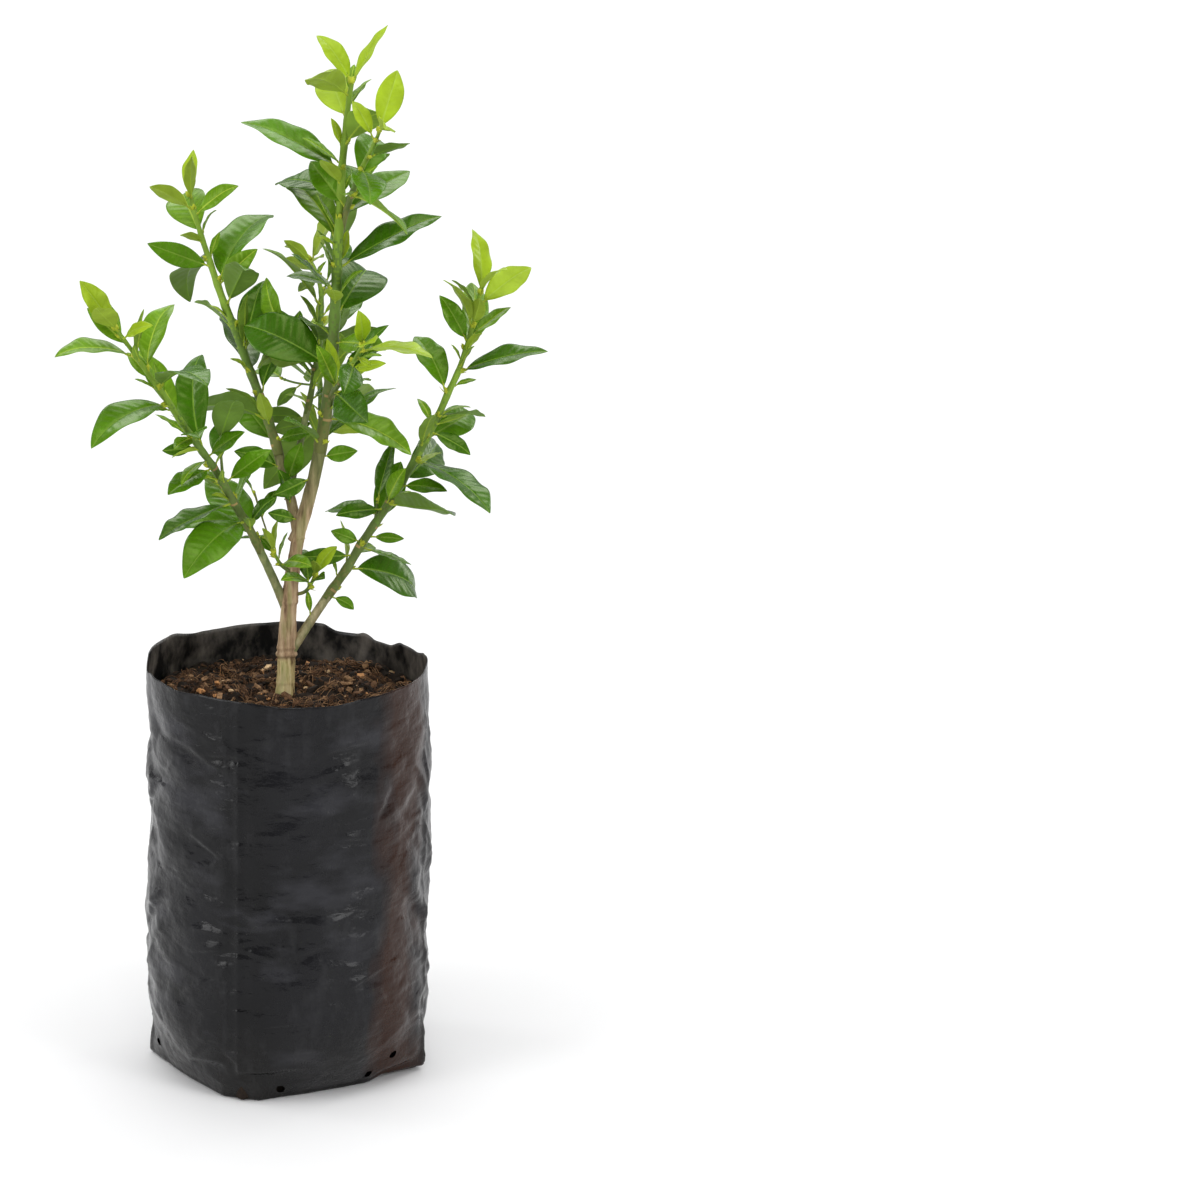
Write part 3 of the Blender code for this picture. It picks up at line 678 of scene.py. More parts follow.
class Nodes:
    """A short way to write a material's nodes."""

    def __init__(self, name):
        self.material = bpy.data.materials.new(name)
        self.material.use_nodes = True
        self.tree = self.material.node_tree
        self.shader = self.tree.nodes["Principled BSDF"]
        self.place = self.new("ShaderNodeTexCoord").outputs["Object"]

    def new(self, kind, **values):
        node = self.tree.nodes.new(kind)
        for key, value in values.items():
            setattr(node, key, value)
        return node

    def link(self, output, target):
        self.tree.links.new(output, target)

    def set(self, **values):
        for key, value in values.items():
            self.shader.inputs[key.replace("_", " ")].default_value = value

    def noise(self, scale, detail, roughness=0.55, stretch=None):
        """Fractal noise over the piece, drawn out along an axis where its stretch is under 1."""
        place = self.place
        if stretch:
            mapping = self.new("ShaderNodeMapping")
            mapping.inputs["Scale"].default_value = stretch
            self.link(place, mapping.inputs["Vector"])
            place = mapping.outputs["Vector"]
        node = self.new("ShaderNodeTexNoise")
        for key, value in (("Scale", scale), ("Detail", detail), ("Roughness", roughness)):
            node.inputs[key].default_value = value
        self.link(place, node.inputs["Vector"])
        return node.outputs["Fac"]

    def cells(self, scale):
        node = self.new("ShaderNodeTexVoronoi")
        node.inputs["Scale"].default_value = scale
        self.link(self.place, node.inputs["Vector"])
        return node.outputs["Distance"]

    def ramp(self, value, stops):
        """A colour ramp: stops are (position, grey or colour)."""
        node = self.new("ShaderNodeValToRGB")
        elements = node.color_ramp.elements
        while len(elements) < len(stops):
            elements.new(0.5)
        for element, (position, colour) in zip(elements, stops):
            element.position = position
            if not hasattr(colour, "__len__"):
                colour = (colour, colour, colour)
            element.color = (*colour, 1)
        self.link(value, node.inputs["Fac"])
        return node.outputs["Color"]

    def range(self, value, low, high, to_low, to_high):
        node = self.new("ShaderNodeMapRange")
        self.link(value, node.inputs["Value"])
        keys = ("From Min", "From Max", "To Min", "To Max")
        for key, number in zip(keys, (low, high, to_low, to_high)):
            node.inputs[key].default_value = number
        return node.outputs["Result"]

    def mix(self, share, first, second):
        node = self.new("ShaderNodeMix", data_type="RGBA")
        for value, target in ((share, 0), (first, 6), (second, 7)):
            if hasattr(value, "links"):
                self.link(value, node.inputs[target])
            elif target == 0:
                node.inputs[target].default_value = value
            else:
                node.inputs[target].default_value = (*value, 1)
        return node.outputs[2]

    def maths(self, operation, first, second):
        node = self.new("ShaderNodeMath", operation=operation)
        self.link(first, node.inputs[0])
        self.link(second, node.inputs[1])
        return node.outputs[0]

    def parts(self):
        """The place across, away from the front, and up, in metres."""
        node = self.new("ShaderNodeSeparateXYZ")
        self.link(self.place, node.inputs[0])
        return node.outputs

    def bump(self, height, strength, distance, onto=None):
        node = self.new("ShaderNodeBump")
        node.inputs["Strength"].default_value = strength
        node.inputs["Distance"].default_value = distance
        self.link(height, node.inputs["Height"])
        if onto is not None:
            self.link(onto, node.inputs["Normal"])
        return node.outputs["Normal"]

    def colour(self, output):
        self.link(output, self.shader.inputs["Base Color"])

    def rough(self, output):
        self.link(output, self.shader.inputs["Roughness"])

    def normal(self, output):
        self.link(output, self.shader.inputs["Normal"])


def shade(colour, factor):
    return tuple(min(1.0, part * factor) for part in colour)


SHEEN_TINT = (0.8, 1.0, 0.3, 1.0)


def leaf_material(name, colour, roughness, bump, specular):
    """A leaf's skin: faint mottling, uneven gloss and fine pitting over one green."""
    nodes = Nodes(name)
    mottle = nodes.noise(70, detail=4)
    nodes.colour(nodes.ramp(mottle, ((0.30, shade(colour, 0.80)), (0.72, shade(colour, 1.20)))))
    gloss = nodes.noise(300, detail=2)
    nodes.rough(nodes.range(gloss, 0.3, 0.7, roughness - 0.05, roughness + 0.08))
    pits = nodes.noise(1500, detail=2)
    nodes.normal(nodes.bump(pits, bump, 0.0002))
    nodes.set(Specular_IOR_Level=specular, Specular_Tint=SHEEN_TINT)
    return nodes.material


def twig_material(name, colour, roughness):
    """Green twig skin with faint lengthwise streaks and pores."""
    nodes = Nodes(name)
    streak = nodes.noise(260, detail=4, stretch=(1, 1, 0.25))
    nodes.colour(nodes.ramp(streak, ((0.30, shade(colour, 0.78)), (0.70, shade(colour, 1.2)))))
    nodes.rough(nodes.range(streak, 0.3, 0.7, roughness - 0.06, roughness + 0.1))
    pores = nodes.noise(900, detail=3)
    nodes.normal(nodes.bump(pores, 0.25, 0.0003))
    nodes.set(Specular_IOR_Level=0.25, Specular_Tint=SHEEN_TINT)
    return nodes.material


def bark_material():
    """Tan bark with brown fissures above, and a greenish skin with green streaks near the soil."""
    nodes = Nodes("bark")
    height = nodes.parts()[2]
    fibres = nodes.noise(330, detail=6, roughness=0.65, stretch=(1, 1, 0.14))
    patches = nodes.noise(90, detail=4, stretch=(1, 1, 0.35))
    tan = nodes.ramp(
        fibres,
        (
            (0.30, (0.13, 0.075, 0.040)),
            (0.44, (0.34, 0.22, 0.125)),
            (0.60, (0.53, 0.385, 0.235)),
            (0.78, (0.66, 0.53, 0.36)),
        ),
    )
    olive = nodes.ramp(
        fibres, ((0.36, (0.15, 0.10, 0.04)), (0.47, (0.54, 0.43, 0.18)), (0.66, (0.84, 0.72, 0.40)))
    )
    green = nodes.ramp(
        fibres,
        ((0.30, (0.13, 0.155, 0.035)), (0.54, (0.30, 0.34, 0.09)), (0.76, (0.50, 0.53, 0.20))),
    )
    low = nodes.range(height, 0.227, 0.231, 0.85, 0.0)
    young = nodes.ramp(
        fibres,
        ((0.30, (0.085, 0.095, 0.032)), (0.54, (0.165, 0.170, 0.060)), (0.78, (0.30, 0.265, 0.125))),
    )
    high = nodes.range(
        nodes.maths("ADD", height, nodes.range(patches, 0.35, 0.65, -0.008, 0.008)), 0.296, 0.334,
        0.0, 1.0
    )
    green_low = nodes.ramp(patches, ((0.46, 0.0), (0.55, 0.9)))
    light_low = nodes.ramp(nodes.noise(140, detail=3, stretch=(1, 1, 0.22)), ((0.56, 0.0), (0.66, 0.8)))
    base = nodes.mix(light_low, nodes.mix(green_low, olive, green), (0.60, 0.50, 0.27))
    streaks = nodes.ramp(nodes.noise(120, detail=2, stretch=(1, 1, 0.16)), ((0.59, 0.0), (0.66, 0.5)))
    tan = nodes.mix(streaks, tan, (0.24, 0.26, 0.08))
    mixed = nodes.mix(low, tan, base)
    nodes.colour(nodes.mix(high, mixed, young))
    nodes.rough(nodes.range(fibres, 0.3, 0.7, 0.88, 0.62))
    relief = nodes.bump(fibres, 0.6, 0.0006)
    grains = nodes.noise(1300, detail=3)
    nodes.normal(nodes.bump(grains, 0.3, 0.0003, relief))
    nodes.set(Specular_IOR_Level=0.3)
    return nodes.material


def bough_material():
    """Greyish green bark of the younger boughs, tan where they leave the trunk."""
    nodes = Nodes("green bark")
    height = nodes.parts()[2]
    fibres = nodes.noise(330, detail=6, roughness=0.65, stretch=(1, 1, 0.3))
    patches = nodes.noise(120, detail=3)
    green = nodes.ramp(
        fibres,
        ((0.30, (0.085, 0.115, 0.034)), (0.52, (0.170, 0.205, 0.066)), (0.76, (0.33, 0.33, 0.14))),
    )
    tan = nodes.ramp(
        fibres,
        ((0.30, (0.19, 0.125, 0.07)), (0.52, (0.42, 0.31, 0.18)), (0.78, (0.60, 0.48, 0.32))),
    )
    near = nodes.range(height, 0.248, 0.285, 0.75, 0.0)
    share = nodes.maths("MULTIPLY", near, nodes.ramp(patches, ((0.35, 0.25), (0.65, 1.0))))
    nodes.colour(nodes.mix(share, green, tan))
    nodes.rough(nodes.range(fibres, 0.3, 0.7, 0.72, 0.5))
    nodes.normal(nodes.bump(fibres, 0.4, 0.0005))
    return nodes.material


def film_material():
    """Black film: semi-gloss and scuffed, with painted sheen in lighter panels and along folds, dust
    patches that also serve as painted sheen, and a painted warm reflection on the right of its front.
    """
    nodes = Nodes("black film")
    cloud = nodes.noise(22, detail=5, roughness=0.6)
    painted_sheen_panels = nodes.noise(13, detail=2, stretch=(1, 1, 0.35))
    dust_and_painted_light = nodes.noise(75, detail=8, roughness=0.7, stretch=(1, 1, 0.45))
    specks = nodes.cells(420)
    east, north, height = nodes.parts()
    black = nodes.ramp(cloud, ((0.35, (0.0010, 0.0010, 0.0014)), (0.68, (0.0038, 0.0038, 0.0050))))
    # Painted sheen: lighter upright panels over the black, standing in for broad soft reflections.
    black = nodes.mix(nodes.ramp(painted_sheen_panels, ((0.44, 0.0), (0.62, 1.0))), black, (0.0058, 0.0058, 0.0074))
    # Painted highlight: lighter level streaks along folds, standing in for their sheen.
    painted_fold_sheen = nodes.noise(24, detail=3, stretch=(1, 1, 2.4))
    black = nodes.mix(nodes.ramp(painted_fold_sheen, ((0.54, 0.0), (0.70, 0.9))), black, (0.021, 0.021, 0.025))
    # Dust patches, lighter in colour, that also serve as painted sheen on the film.
    dust_and_sheen = nodes.ramp(dust_and_painted_light, ((0.52, 0.0), (0.74, 0.5)))
    black = nodes.mix(dust_and_sheen, black, (0.030, 0.030, 0.033))
    speck = nodes.ramp(specks, ((0.045, 1.0), (0.075, 0.0)))
    few = nodes.ramp(nodes.noise(38, detail=2), ((0.55, 0.0), (0.66, 0.5)))
    black = nodes.mix(nodes.maths("MULTIPLY", speck, few), black, (0.10, 0.085, 0.065))
    low_dust = nodes.range(height, 0.0, 0.05, 0.55, 0.0)
    black = nodes.mix(nodes.maths("MULTIPLY", low_dust, dust_and_painted_light), black, (0.032, 0.030, 0.026))
    # Painted reflection: a warm brown strip on the right of the front, standing in for brown things
    # reflected in the film.
    wander = nodes.range(nodes.noise(26, detail=3, stretch=(1, 1, 0.6)), 0.3, 0.7, -0.008, 0.008)
    place = nodes.maths("ADD", east, wander)
    rising = nodes.range(place, 0.047, 0.058, 0.0, 1.0)
    falling = nodes.range(place, 0.067, 0.075, 1.0, 0.1)
    front = nodes.range(north, -0.025, -0.008, 1.0, 0.0)
    painted_warm_reflection = nodes.maths("MULTIPLY", nodes.maths("MULTIPLY", rising, falling), front)
    nodes.colour(nodes.mix(painted_warm_reflection, black, (0.023, 0.0068, 0.0022)))
    nodes.rough(nodes.range(dust_and_painted_light, 0.35, 0.75, 0.18, 0.42))
    fine = nodes.noise(240, detail=5, stretch=(1, 1, 1.6))
    crinkle = nodes.noise(90, detail=3, stretch=(1, 1, 2.2))
    relief = nodes.bump(cloud, 0.5, 0.004)
    relief = nodes.bump(crinkle, 0.35, 0.0018, relief)
    nodes.normal(nodes.bump(fine, 0.16, 0.0006, relief))
    nodes.set(Specular_IOR_Level=0.23)
    return nodes.material


def inner_film_material():
    """The inside of the film: the same black, dulled by dried mix whose lighter patches also serve as
    painted light.
    """
    nodes = Nodes("film inside")
    dust_and_painted_light = nodes.noise(60, detail=7, roughness=0.65, stretch=(1, 1, 0.6))
    # Patches of dried mix, lighter in colour, that also serve as painted light on the inner wall.
    nodes.colour(nodes.ramp(dust_and_painted_light, ((0.42, (0.006, 0.006, 0.006)), (0.64, (0.12, 0.105, 0.09)))))
    nodes.rough(nodes.range(dust_and_painted_light, 0.35, 0.75, 0.28, 0.55))
    nodes.normal(nodes.bump(dust_and_painted_light, 0.5, 0.002))
    nodes.set(Specular_IOR_Level=0.4)
    return nodes.material


def soil_material(name, colour):
    """Damp potting mix: broken browns with a rough, crumbly grain."""
    nodes = Nodes(name)
    grain = nodes.noise(600, detail=5, roughness=0.7)
    nodes.colour(nodes.ramp(grain, ((0.32, shade(colour, 0.45)), (0.68, shade(colour, 1.5)))))
    nodes.rough(nodes.range(grain, 0.3, 0.7, 0.80, 0.92))
    nodes.normal(nodes.bump(grain, 0.6, 0.0008))
    nodes.set(Specular_IOR_Level=0.2)
    return nodes.material


# Leaves

# Rows of faces from one side vein to the next, and places across half a blade
VEIN_ROWS = 4
LEAF_COLUMNS = (0.0, 0.2, 0.4, 0.6, 0.78, 0.91, 1.0)
MIDRIB_COLUMN = 0.05
MIDRIB_HALF = 0.45 * MM
MIDRIB_GROOVE = 0.16 * MM
MIDRIB_KEEL = 0.42 * MM
# How far the veins slant towards the tip, the blade's bulge between veins and its thickness
VEIN_SLANT = 0.62
QUILT = 0.0065
BLADE_SHEET = 0.22 * MM
LEAST_SHEET = 0.02 * MM

# Slots of the leaf pieces: tops, undersides, midribs, the stalk and veins
TOP_SLOTS = {"dark": 0, "mid": 1, "light": 2, "young": 3}
UNDER_SLOTS = {"dark": 4, "mid": 4, "light": 5, "young": 6}
RIB_SLOTS = {"dark": 7, "mid": 7, "light": 8, "young": 8}
PETIOLE_SLOT = 9
VEIN_SLOTS = {"dark": 10, "mid": 11, "light": 12, "young": 3}


def half_widths(leaf, shares):
    """Half the blade's width at an array of shares of its length, as half_width gives it."""
    return leaf.width / 2 * np.sin(np.pi * shares**0.95) ** 0.85


def add_blade_mesh(pile, leaf, pick, tone):
    """A leaf blade as two thin sheets, quilted between its veins, with a groove along its midrib."""
    veins = 6 + round(leaf.length / (12 * MM))
    rows = veins * VEIN_ROWS + 1
    row = np.linspace(0, 1, rows)
    share = row * 0.992 + 0.004
    ends = np.sin(np.pi * share)
    right_side = [0.0, MIDRIB_COLUMN, *LEAF_COLUMNS[1:]]
    middle = len(LEAF_COLUMNS) - 1
    columns = np.array([-place for place in right_side[:0:-1]] + right_side)
    s0, w = np.meshgrid(share, columns, indexing="ij")
    slant = VEIN_SLANT * half_widths(leaf, s0) * np.abs(w) ** 1.15 / leaf.length
    s = np.clip(s0 + slant * (1 - s0) ** 0.3, 0, 0.9985)
    half = half_widths(leaf, s)
    rib = np.minimum(MIDRIB_HALF * (1.15 - 0.75 * s), 0.33 * half)
    beside_rib = np.abs(w) == MIDRIB_COLUMN
    sideways = np.where(beside_rib, np.sign(w) * rib, w * half)
    wave_count = pick.uniform(2.0, 3.4)
    wave_size = leaf.length * pick.uniform(0.007, 0.020)
    wave_start = pick.uniform(0, 6.28)
    twist = drawn_angle(pick, -16, 16)
    phase = row[:, None] * veins
    quilt = (0.5 - 0.5 * np.cos(2 * np.pi * phase)) ** 0.8 - 0.5
    fade = np.clip(1 - np.abs(w) ** 2.5, 0, 1) * np.clip(np.abs(w) * 6, 0, 1)
    lift = leaf.length * QUILT * quilt * fade * ends[:, None] ** 0.5
    edge = np.abs(w) ** 2.2
    lift += wave_size * edge * np.sin(
        2 * np.pi * wave_count * s + wave_start + np.where(w > 0, 1.9, 0)
    ) * ends[:, None]
    fold = pick.uniform(0.18, 0.40)
    lift += fold * np.abs(sideways) * (1.25 - 0.5 * np.abs(w)) * (1 - 0.35 * s)
    lift += np.tan(twist * (s - 0.3)) * sideways
    lift -= leaf.length * pick.uniform(0.0, 0.09) * np.clip((s - 0.62) / 0.38, 0, 1) ** 2
    bend = leaf.droop if abs(leaf.droop) > 0.001 else 0.001
    angle = bend * s
    base, along, normal, side = map(np.array, (leaf.base, leaf.along, leaf.normal, leaf.side))
    middle_line = (
        base
        + along * (leaf.petiole + leaf.length * np.sin(angle) / bend)[..., None]
        - normal * (leaf.length * (1 - np.cos(angle)) / bend)[..., None]
    )
    up = normal * np.cos(angle)[..., None] + along * np.sin(angle)[..., None]
    flat = middle_line + side * sideways[..., None]
    sheet = BLADE_SHEET * (1 - np.abs(w) ** 6) * np.clip(ends[:, None] * 4, 0, 1) + LEAST_SHEET
    top_lift = lift + sheet - np.where(w == 0, MIDRIB_GROOVE, 0)
    under_lift = lift - sheet - np.where(w == 0, MIDRIB_KEEL * (1.1 - s), 0)
    top = flat + up * top_lift[..., None]
    under = flat + up * under_lift[..., None]
    width = len(columns)
    quads_top = grid_quads(rows, width)
    count = rows * width
    rib_quads = np.zeros((rows - 1, width - 1), bool)
    rib_quads[:, middle:middle + 2] = True
    rib_quads = rib_quads.ravel()
    vein_rows = (np.arange(rows - 1) % VEIN_ROWS == 0) & (share[:-1] > 0.06) & (share[:-1] < 0.93)
    vein_quads = np.zeros((rows - 1, width - 1), bool)
    vein_quads[:, 2:-2] = vein_rows[:, None]
    top_slots = np.where(vein_quads.ravel(), VEIN_SLOTS[tone], TOP_SLOTS[tone])
    rim = np.concatenate(
        [
            np.arange(width),
            np.arange(1, rows) * width + width - 1,
            (rows - 1) * width + np.arange(width - 2, -1, -1),
            np.arange(rows - 2, 0, -1) * width,
        ]
    )
    after = np.roll(rim, -1)
    rim_quads = np.stack((after, rim, rim + count, after + count), axis=-1)
    points = np.concatenate([top.reshape(-1, 3), under.reshape(-1, 3)])
    quads = np.concatenate([quads_top, quads_top[:, ::-1] + count, rim_quads])
    slots = np.concatenate(
        [
            np.where(rib_quads, RIB_SLOTS[tone], top_slots),
            np.where(rib_quads, RIB_SLOTS[tone], UNDER_SLOTS[tone]),
            np.full(len(rim_quads), RIB_SLOTS[tone]),
        ]
    )
    pile.add(points, quads, slots)


def add_petiole(pile, leaf):
    """The leaf's stalk, thickened where it leaves the stem and running into the blade."""
    start = np.array(leaf.root)
    blade = np.array(blade_point(leaf, 0.03, 0.0, 0.0))
    way = np.array(leaf.along)
    shares = np.array((0.0, 0.12, 0.3, 0.55, 0.8, 1.0))
    sag = np.array(leaf.normal) * -0.0004
    centres = [
        start + (blade - start) * share + sag * math.sin(math.pi * share) for share in shares
    ]
    thick = 0.42 * MM + 0.006 * leaf.length
    radii = thick * np.array((1.5, 1.25, 0.95, 0.85, 0.9, 0.75))
    centres.append(blade + way * 0.0015)
    radii = np.append(radii, thick * 0.5)
    add_tube(pile, centres, radii, 8, PETIOLE_SLOT)


def add_leaf(pile, leaf, pick, tone):
    add_blade_mesh(pile, leaf, pick, tone)
    add_petiole(pile, leaf)


# Stems

# Slots of the twig pieces: bark colours from old to young, then bud, spine and its tip
AGE_SLOTS = 5
BUD_SLOT = 5
SPINE_SLOTS = (6, 6, 6, 7)
SCAR_SLOT = 8
# Above this age a node has no scar
SCAR_AGE = 3.2
STEM_STEP = 1.3 * MM
STEM_SIDES = 16
TWIG_SIDES = 10
SPINE_RADIUS = 0.42 * MM
BRACT_RADIUS = 0.75 * MM


def stem_radii(stem, shares, pick, nodes):
    """Radii round and along a stem: swollen at each node, and angled below each leaf."""
    turn = turns(STEM_SIDES)
    plain = np.array([stem.radius(share) for share in shares]) * stem.slimness
    swell = np.zeros(len(shares))
    length = stem.length
    for node in nodes:
        away = (shares - node) * length
        swell += np.exp(-((away / np.where(away > 0, 2.2 * MM, 4.5 * MM)) ** 2))
    ridges = 0.045 * np.cos(3 * turn[None, :] + 9 * shares[:, None] * length / 0.1)
    uneven = np.array([pick.uniform(-0.02, 0.02) for _ in range(STEM_SIDES)])
    return plain[:, None] * (1 + 0.15 * np.clip(swell, 0, 1.2)[:, None] + ridges + uneven[None, :])


def add_stem(pile, stem, start, pick, nodes, aging):
    """A stem from one share of its curve to its tip, with a scar at each older node."""
    count = max(6, round((1 - start) * stem.length / STEM_STEP))
    shares = np.linspace(start, 1, count + 1)
    centres = np.array([stem.point(share) for share in shares])
    bow = np.array([[pick.uniform(-1, 1) for _ in range(3)] for _ in range(len(nodes) + 2)])
    places = np.concatenate([[start], nodes, [1]])
    for axis in range(3):
        centres[:, axis] += 0.35 * MM * np.interp(shares, places, bow[:, axis])
    radii = stem_radii(stem, shares, pick, nodes)
    first_age, last_age = aging
    slots = np.zeros((count, STEM_SIDES), int)
    for i, share in enumerate(shares[:-1]):
        for j in range(STEM_SIDES):
            age = first_age + (last_age - first_age) * share + pick.uniform(-0.4, 0.4)
            slots[i, j] = min(AGE_SLOTS - 1, max(0, int(age)))
    for node in nodes:
        if first_age + (last_age - first_age) * node > SCAR_AGE:
            continue
        ring = int(np.argmin(np.abs(shares - node))) - 1
        facing = pick.randrange(STEM_SIDES)
        for j in range(STEM_SIDES // 3):
            if 0 <= ring < count:
                slots[ring, (facing + j) % STEM_SIDES] = SCAR_SLOT
    add_tube(pile, centres, radii, STEM_SIDES, slots)


def add_cone(pile, base, way, bend, length, radius, slots):
    """A pointed, slightly curved form, a spine or bract, with one slot for each length of it."""
    base, way, bend = map(np.array, (base, way, bend))
    shares = np.linspace(0, 1, len(slots) + 1)
    centres = [base + way * (length * share) + bend * (length * share**2) for share in shares]
    radii = radius * np.clip(1 - shares, 0.04, 1) ** 0.8
    add_tube(pile, centres, radii, 6, np.array(slots))


def add_bud(pile, base, way, size):
    """A small plump bud that ends in a blunt point."""
    base = np.array(base)
    way = np.array(way)
    shares = np.array((0.0, 0.15, 0.35, 0.6, 0.85, 1.0))
    radii = size * 0.42 * np.array((0.6, 0.95, 1.0, 0.8, 0.4, 0.1))
    centres = [base + way * (size * share) for share in shares]
    add_tube(pile, centres, radii, 7, BUD_SLOT)


def add_node_details(pile, stem, share, outward, pick):
    """What sits at a leaf's foot: a bud, a spine and a bract or two."""
    along = stem.direction(share)
    radius = stem.radius(share)
    foot = stem.point(share) + outward * radius * 0.75
    lean = (outward + along * 0.9).normalized()
    add_bud(pile, foot + along * 0.0012, lean, pick.uniform(2.0, 3.4) * MM)
    side = along.cross(outward).normalized()
    if pick.random() < 0.75:
        way = (outward + along * pick.uniform(0.2, 0.8) + side * pick.uniform(-0.7, 0.7)).normalized()
        start = foot + side * radius * pick.uniform(-0.5, 0.5)
        length = pick.uniform(2.2, 5.0) * MM
        add_cone(pile, start, way, along * 0.15, length, SPINE_RADIUS, SPINE_SLOTS)
    for _ in range(pick.randint(2, 4)):
        way = (outward * pick.uniform(0.3, 1) + along + side * pick.uniform(-0.8, 0.8)).normalized()
        start = stem.point(share) + (outward + side * pick.uniform(-0.9, 0.9)).normalized() * radius * 0.8
        length = pick.uniform(2.0, 4.6) * MM
        add_cone(pile, start, way, outward * -0.2, length, BRACT_RADIUS, (BUD_SLOT,) * 4)


# Bag


def angle_between(first, second):
    return (first - second + math.pi) % FULL_TURN - math.pi


def base_radius_at(bearing):
    """The bag's base: straight sides, bulged a little, between four dog-eared corners."""
    corners = sorted(math.radians(corner) % FULL_TURN for corner in BASE_CORNER_BEARINGS)
    bearing %= FULL_TURN
    for i, start in enumerate(corners):
        end = corners[(i + 1) % len(corners)]
        span = (end - start) % FULL_TURN
        along = (bearing - start) % FULL_TURN
        if along <= span:
            chord = BASE_CORNER_RADIUS * math.cos(span / 2) / math.cos(along - span / 2)
            return chord + (BASE_CORNER_RADIUS - chord) * BASE_SIDE_BULGE
    return BASE_CORNER_RADIUS


def rim_height_at(bearing):
    height = RIM_HEIGHT
    for middle, half_span, rise in RIM_WAVES:
        away = abs(angle_between(bearing, math.radians(middle))) / math.radians(half_span)
        height += rise * float(smooth_step(1.5 - away))
    return height


BAG_COLUMNS = 360
WALL_STEP = 1.0 * MM
INNER_DEPTH = 26 * MM
FILM = 0.35 * MM
BAG_SEED = 41
# How far each corner is cut back at the base, and how fast the cut runs out up the wall
CORNER_CUTS = {-108: 8.5 * MM, -12: 1.0 * MM, 80: 4.0 * MM, 175: 0.6 * MM}
CORNER_RISE = 0.42
# The lifted edge of the base: bearing and half width in degrees, rise
LIFTED_EDGE = (-22, 13, 2.6 * MM)
SMALL_CREASES = 150
# Rings of the underside as shares of its radius, and rings round its rounded edge
UNDERSIDE_SHARES = (0.0, 0.25, 0.5, 0.75, 0.92)
EDGE_ROWS = 5

# Creases that the bag plainly has: bearing and height, tilt, then length, width and depth in mm,
# and whether the film steps or stands up like a tent
CREASES = (
    (-126, 19, 8, 34, 5, 2.2, "step"),
    (-100, 17, -6, 30, 4, 2.0, "step"),
    (-112, 27, 12, 26, 7, 1.6, "tent"),
    (-118, 9, -14, 22, 4, 1.4, "tent"),
    (-28, 6, 6, 36, 4, 2.0, "step"),
    (-38, 30, 30, 30, 8, 1.2, "tent"),
    (-168, 60, 62, 46, 8, 1.8, "tent"),
    (-160, 96, 48, 44, 7, 1.8, "step"),
    (-172, 128, 70, 40, 7, 1.6, "tent"),
    (-164, 158, 52, 40, 7, 1.6, "step"),
    (-176, 186, 75, 34, 6, 1.4, "tent"),
    (-152, 84, 30, 40, 6, 1.4, "step"),
    (-8, 60, -60, 46, 8, 1.8, "tent"),
    (-16, 92, -48, 42, 7, 1.8, "step"),
    (-6, 124, -66, 40, 7, 1.7, "tent"),
    (-14, 156, -55, 42, 7, 1.7, "step"),
    (-4, 188, -72, 36, 6, 1.5, "tent"),
    (-24, 104, -34, 36, 6, 1.3, "step"),
    (-119, 95, -5, 30, 3.0, 1.5, "tent"),
    (-104, 92, 16, 24, 2.6, 1.2, "tent"),
    (-101, 85, -12, 26, 2.4, 1.0, "step"),
    (-121, 84, 12, 26, 2.6, 1.1, "step"),
    (-115, 194, 4, 26, 3.2, 1.2, "step"),
    (-117, 178, -8, 24, 2.6, 1.1, "tent"),
    (-100, 203, 8, 26, 2.6, 0.9, "step"),
    (-94, 192, -14, 22, 2.2, 0.8, "tent"),
    (-63, 199, 6, 30, 4.0, 1.5, "step"),
    (-66, 188, 14, 34, 3.2, 1.2, "tent"),
    (-85, 208, 3, 22, 2.4, 0.8, "tent"),
    (-58, 112, -22, 34, 3.6, 1.4, "step"),
    (-66, 104, 18, 26, 2.8, 1.1, "tent"),
    (-62, 77, -10, 30, 3.2, 1.4, "tent"),
    (-76, 88, 14, 36, 3.2, 1.1, "step"),
    (-54, 68, 20, 28, 3.0, 1.2, "step"),
    (-84, 104, -4, 40, 3.4, 1.0, "tent"),
    (-128, 62, 30, 30, 3.0, 1.1, "tent"),
    (-124, 142, -24, 30, 3.0, 1.0, "step"),
    (-98, 152, 8, 28, 2.6, 0.8, "tent"),
    (-60, 148, -10, 28, 3.2, 1.1, "step"),
    (-88, 46, 6, 40, 3.2, 1.1, "step"),
    (-70, 40, -12, 34, 3.0, 1.1, "tent"),
    (-106, 52, -10, 30, 2.8, 1.0, "tent"),
    (-93, 18, 4, 44, 3.6, 1.5, "step"),
    (-80, 26, -14, 30, 3.0, 1.2, "tent"),
)


def crease_field(arc, height, crease):
    """The relief of one crease over the bag's unrolled wall."""
    bearing, middle, tilt, length, width, depth, kind = crease
    around = FULL_TURN * BAG_RADIUS
    dx = arc - math.radians(bearing) * BAG_RADIUS
    dx = (dx + around / 2) % around - around / 2
    dz = height - middle * MM
    turn = math.radians(tilt)
    along = dx * math.cos(turn) + dz * math.sin(turn)
    off = -dx * math.sin(turn) + dz * math.cos(turn)
    off = off + 0.10 * along**2 / (length * MM)
    reach = np.clip(1 - (np.abs(along) / (0.5 * length * MM)) ** 2, 0, 1)
    u = off / (width * MM)
    if kind == "tent":
        shape = np.exp(-np.abs(u) * 1.6) - 0.55 * np.exp(-((u / 2.2) ** 2))
    else:
        shape = np.tanh(u * 3.0) * np.exp(-np.abs(u) * 0.9)
    return depth * MM * reach**1.2 * shape


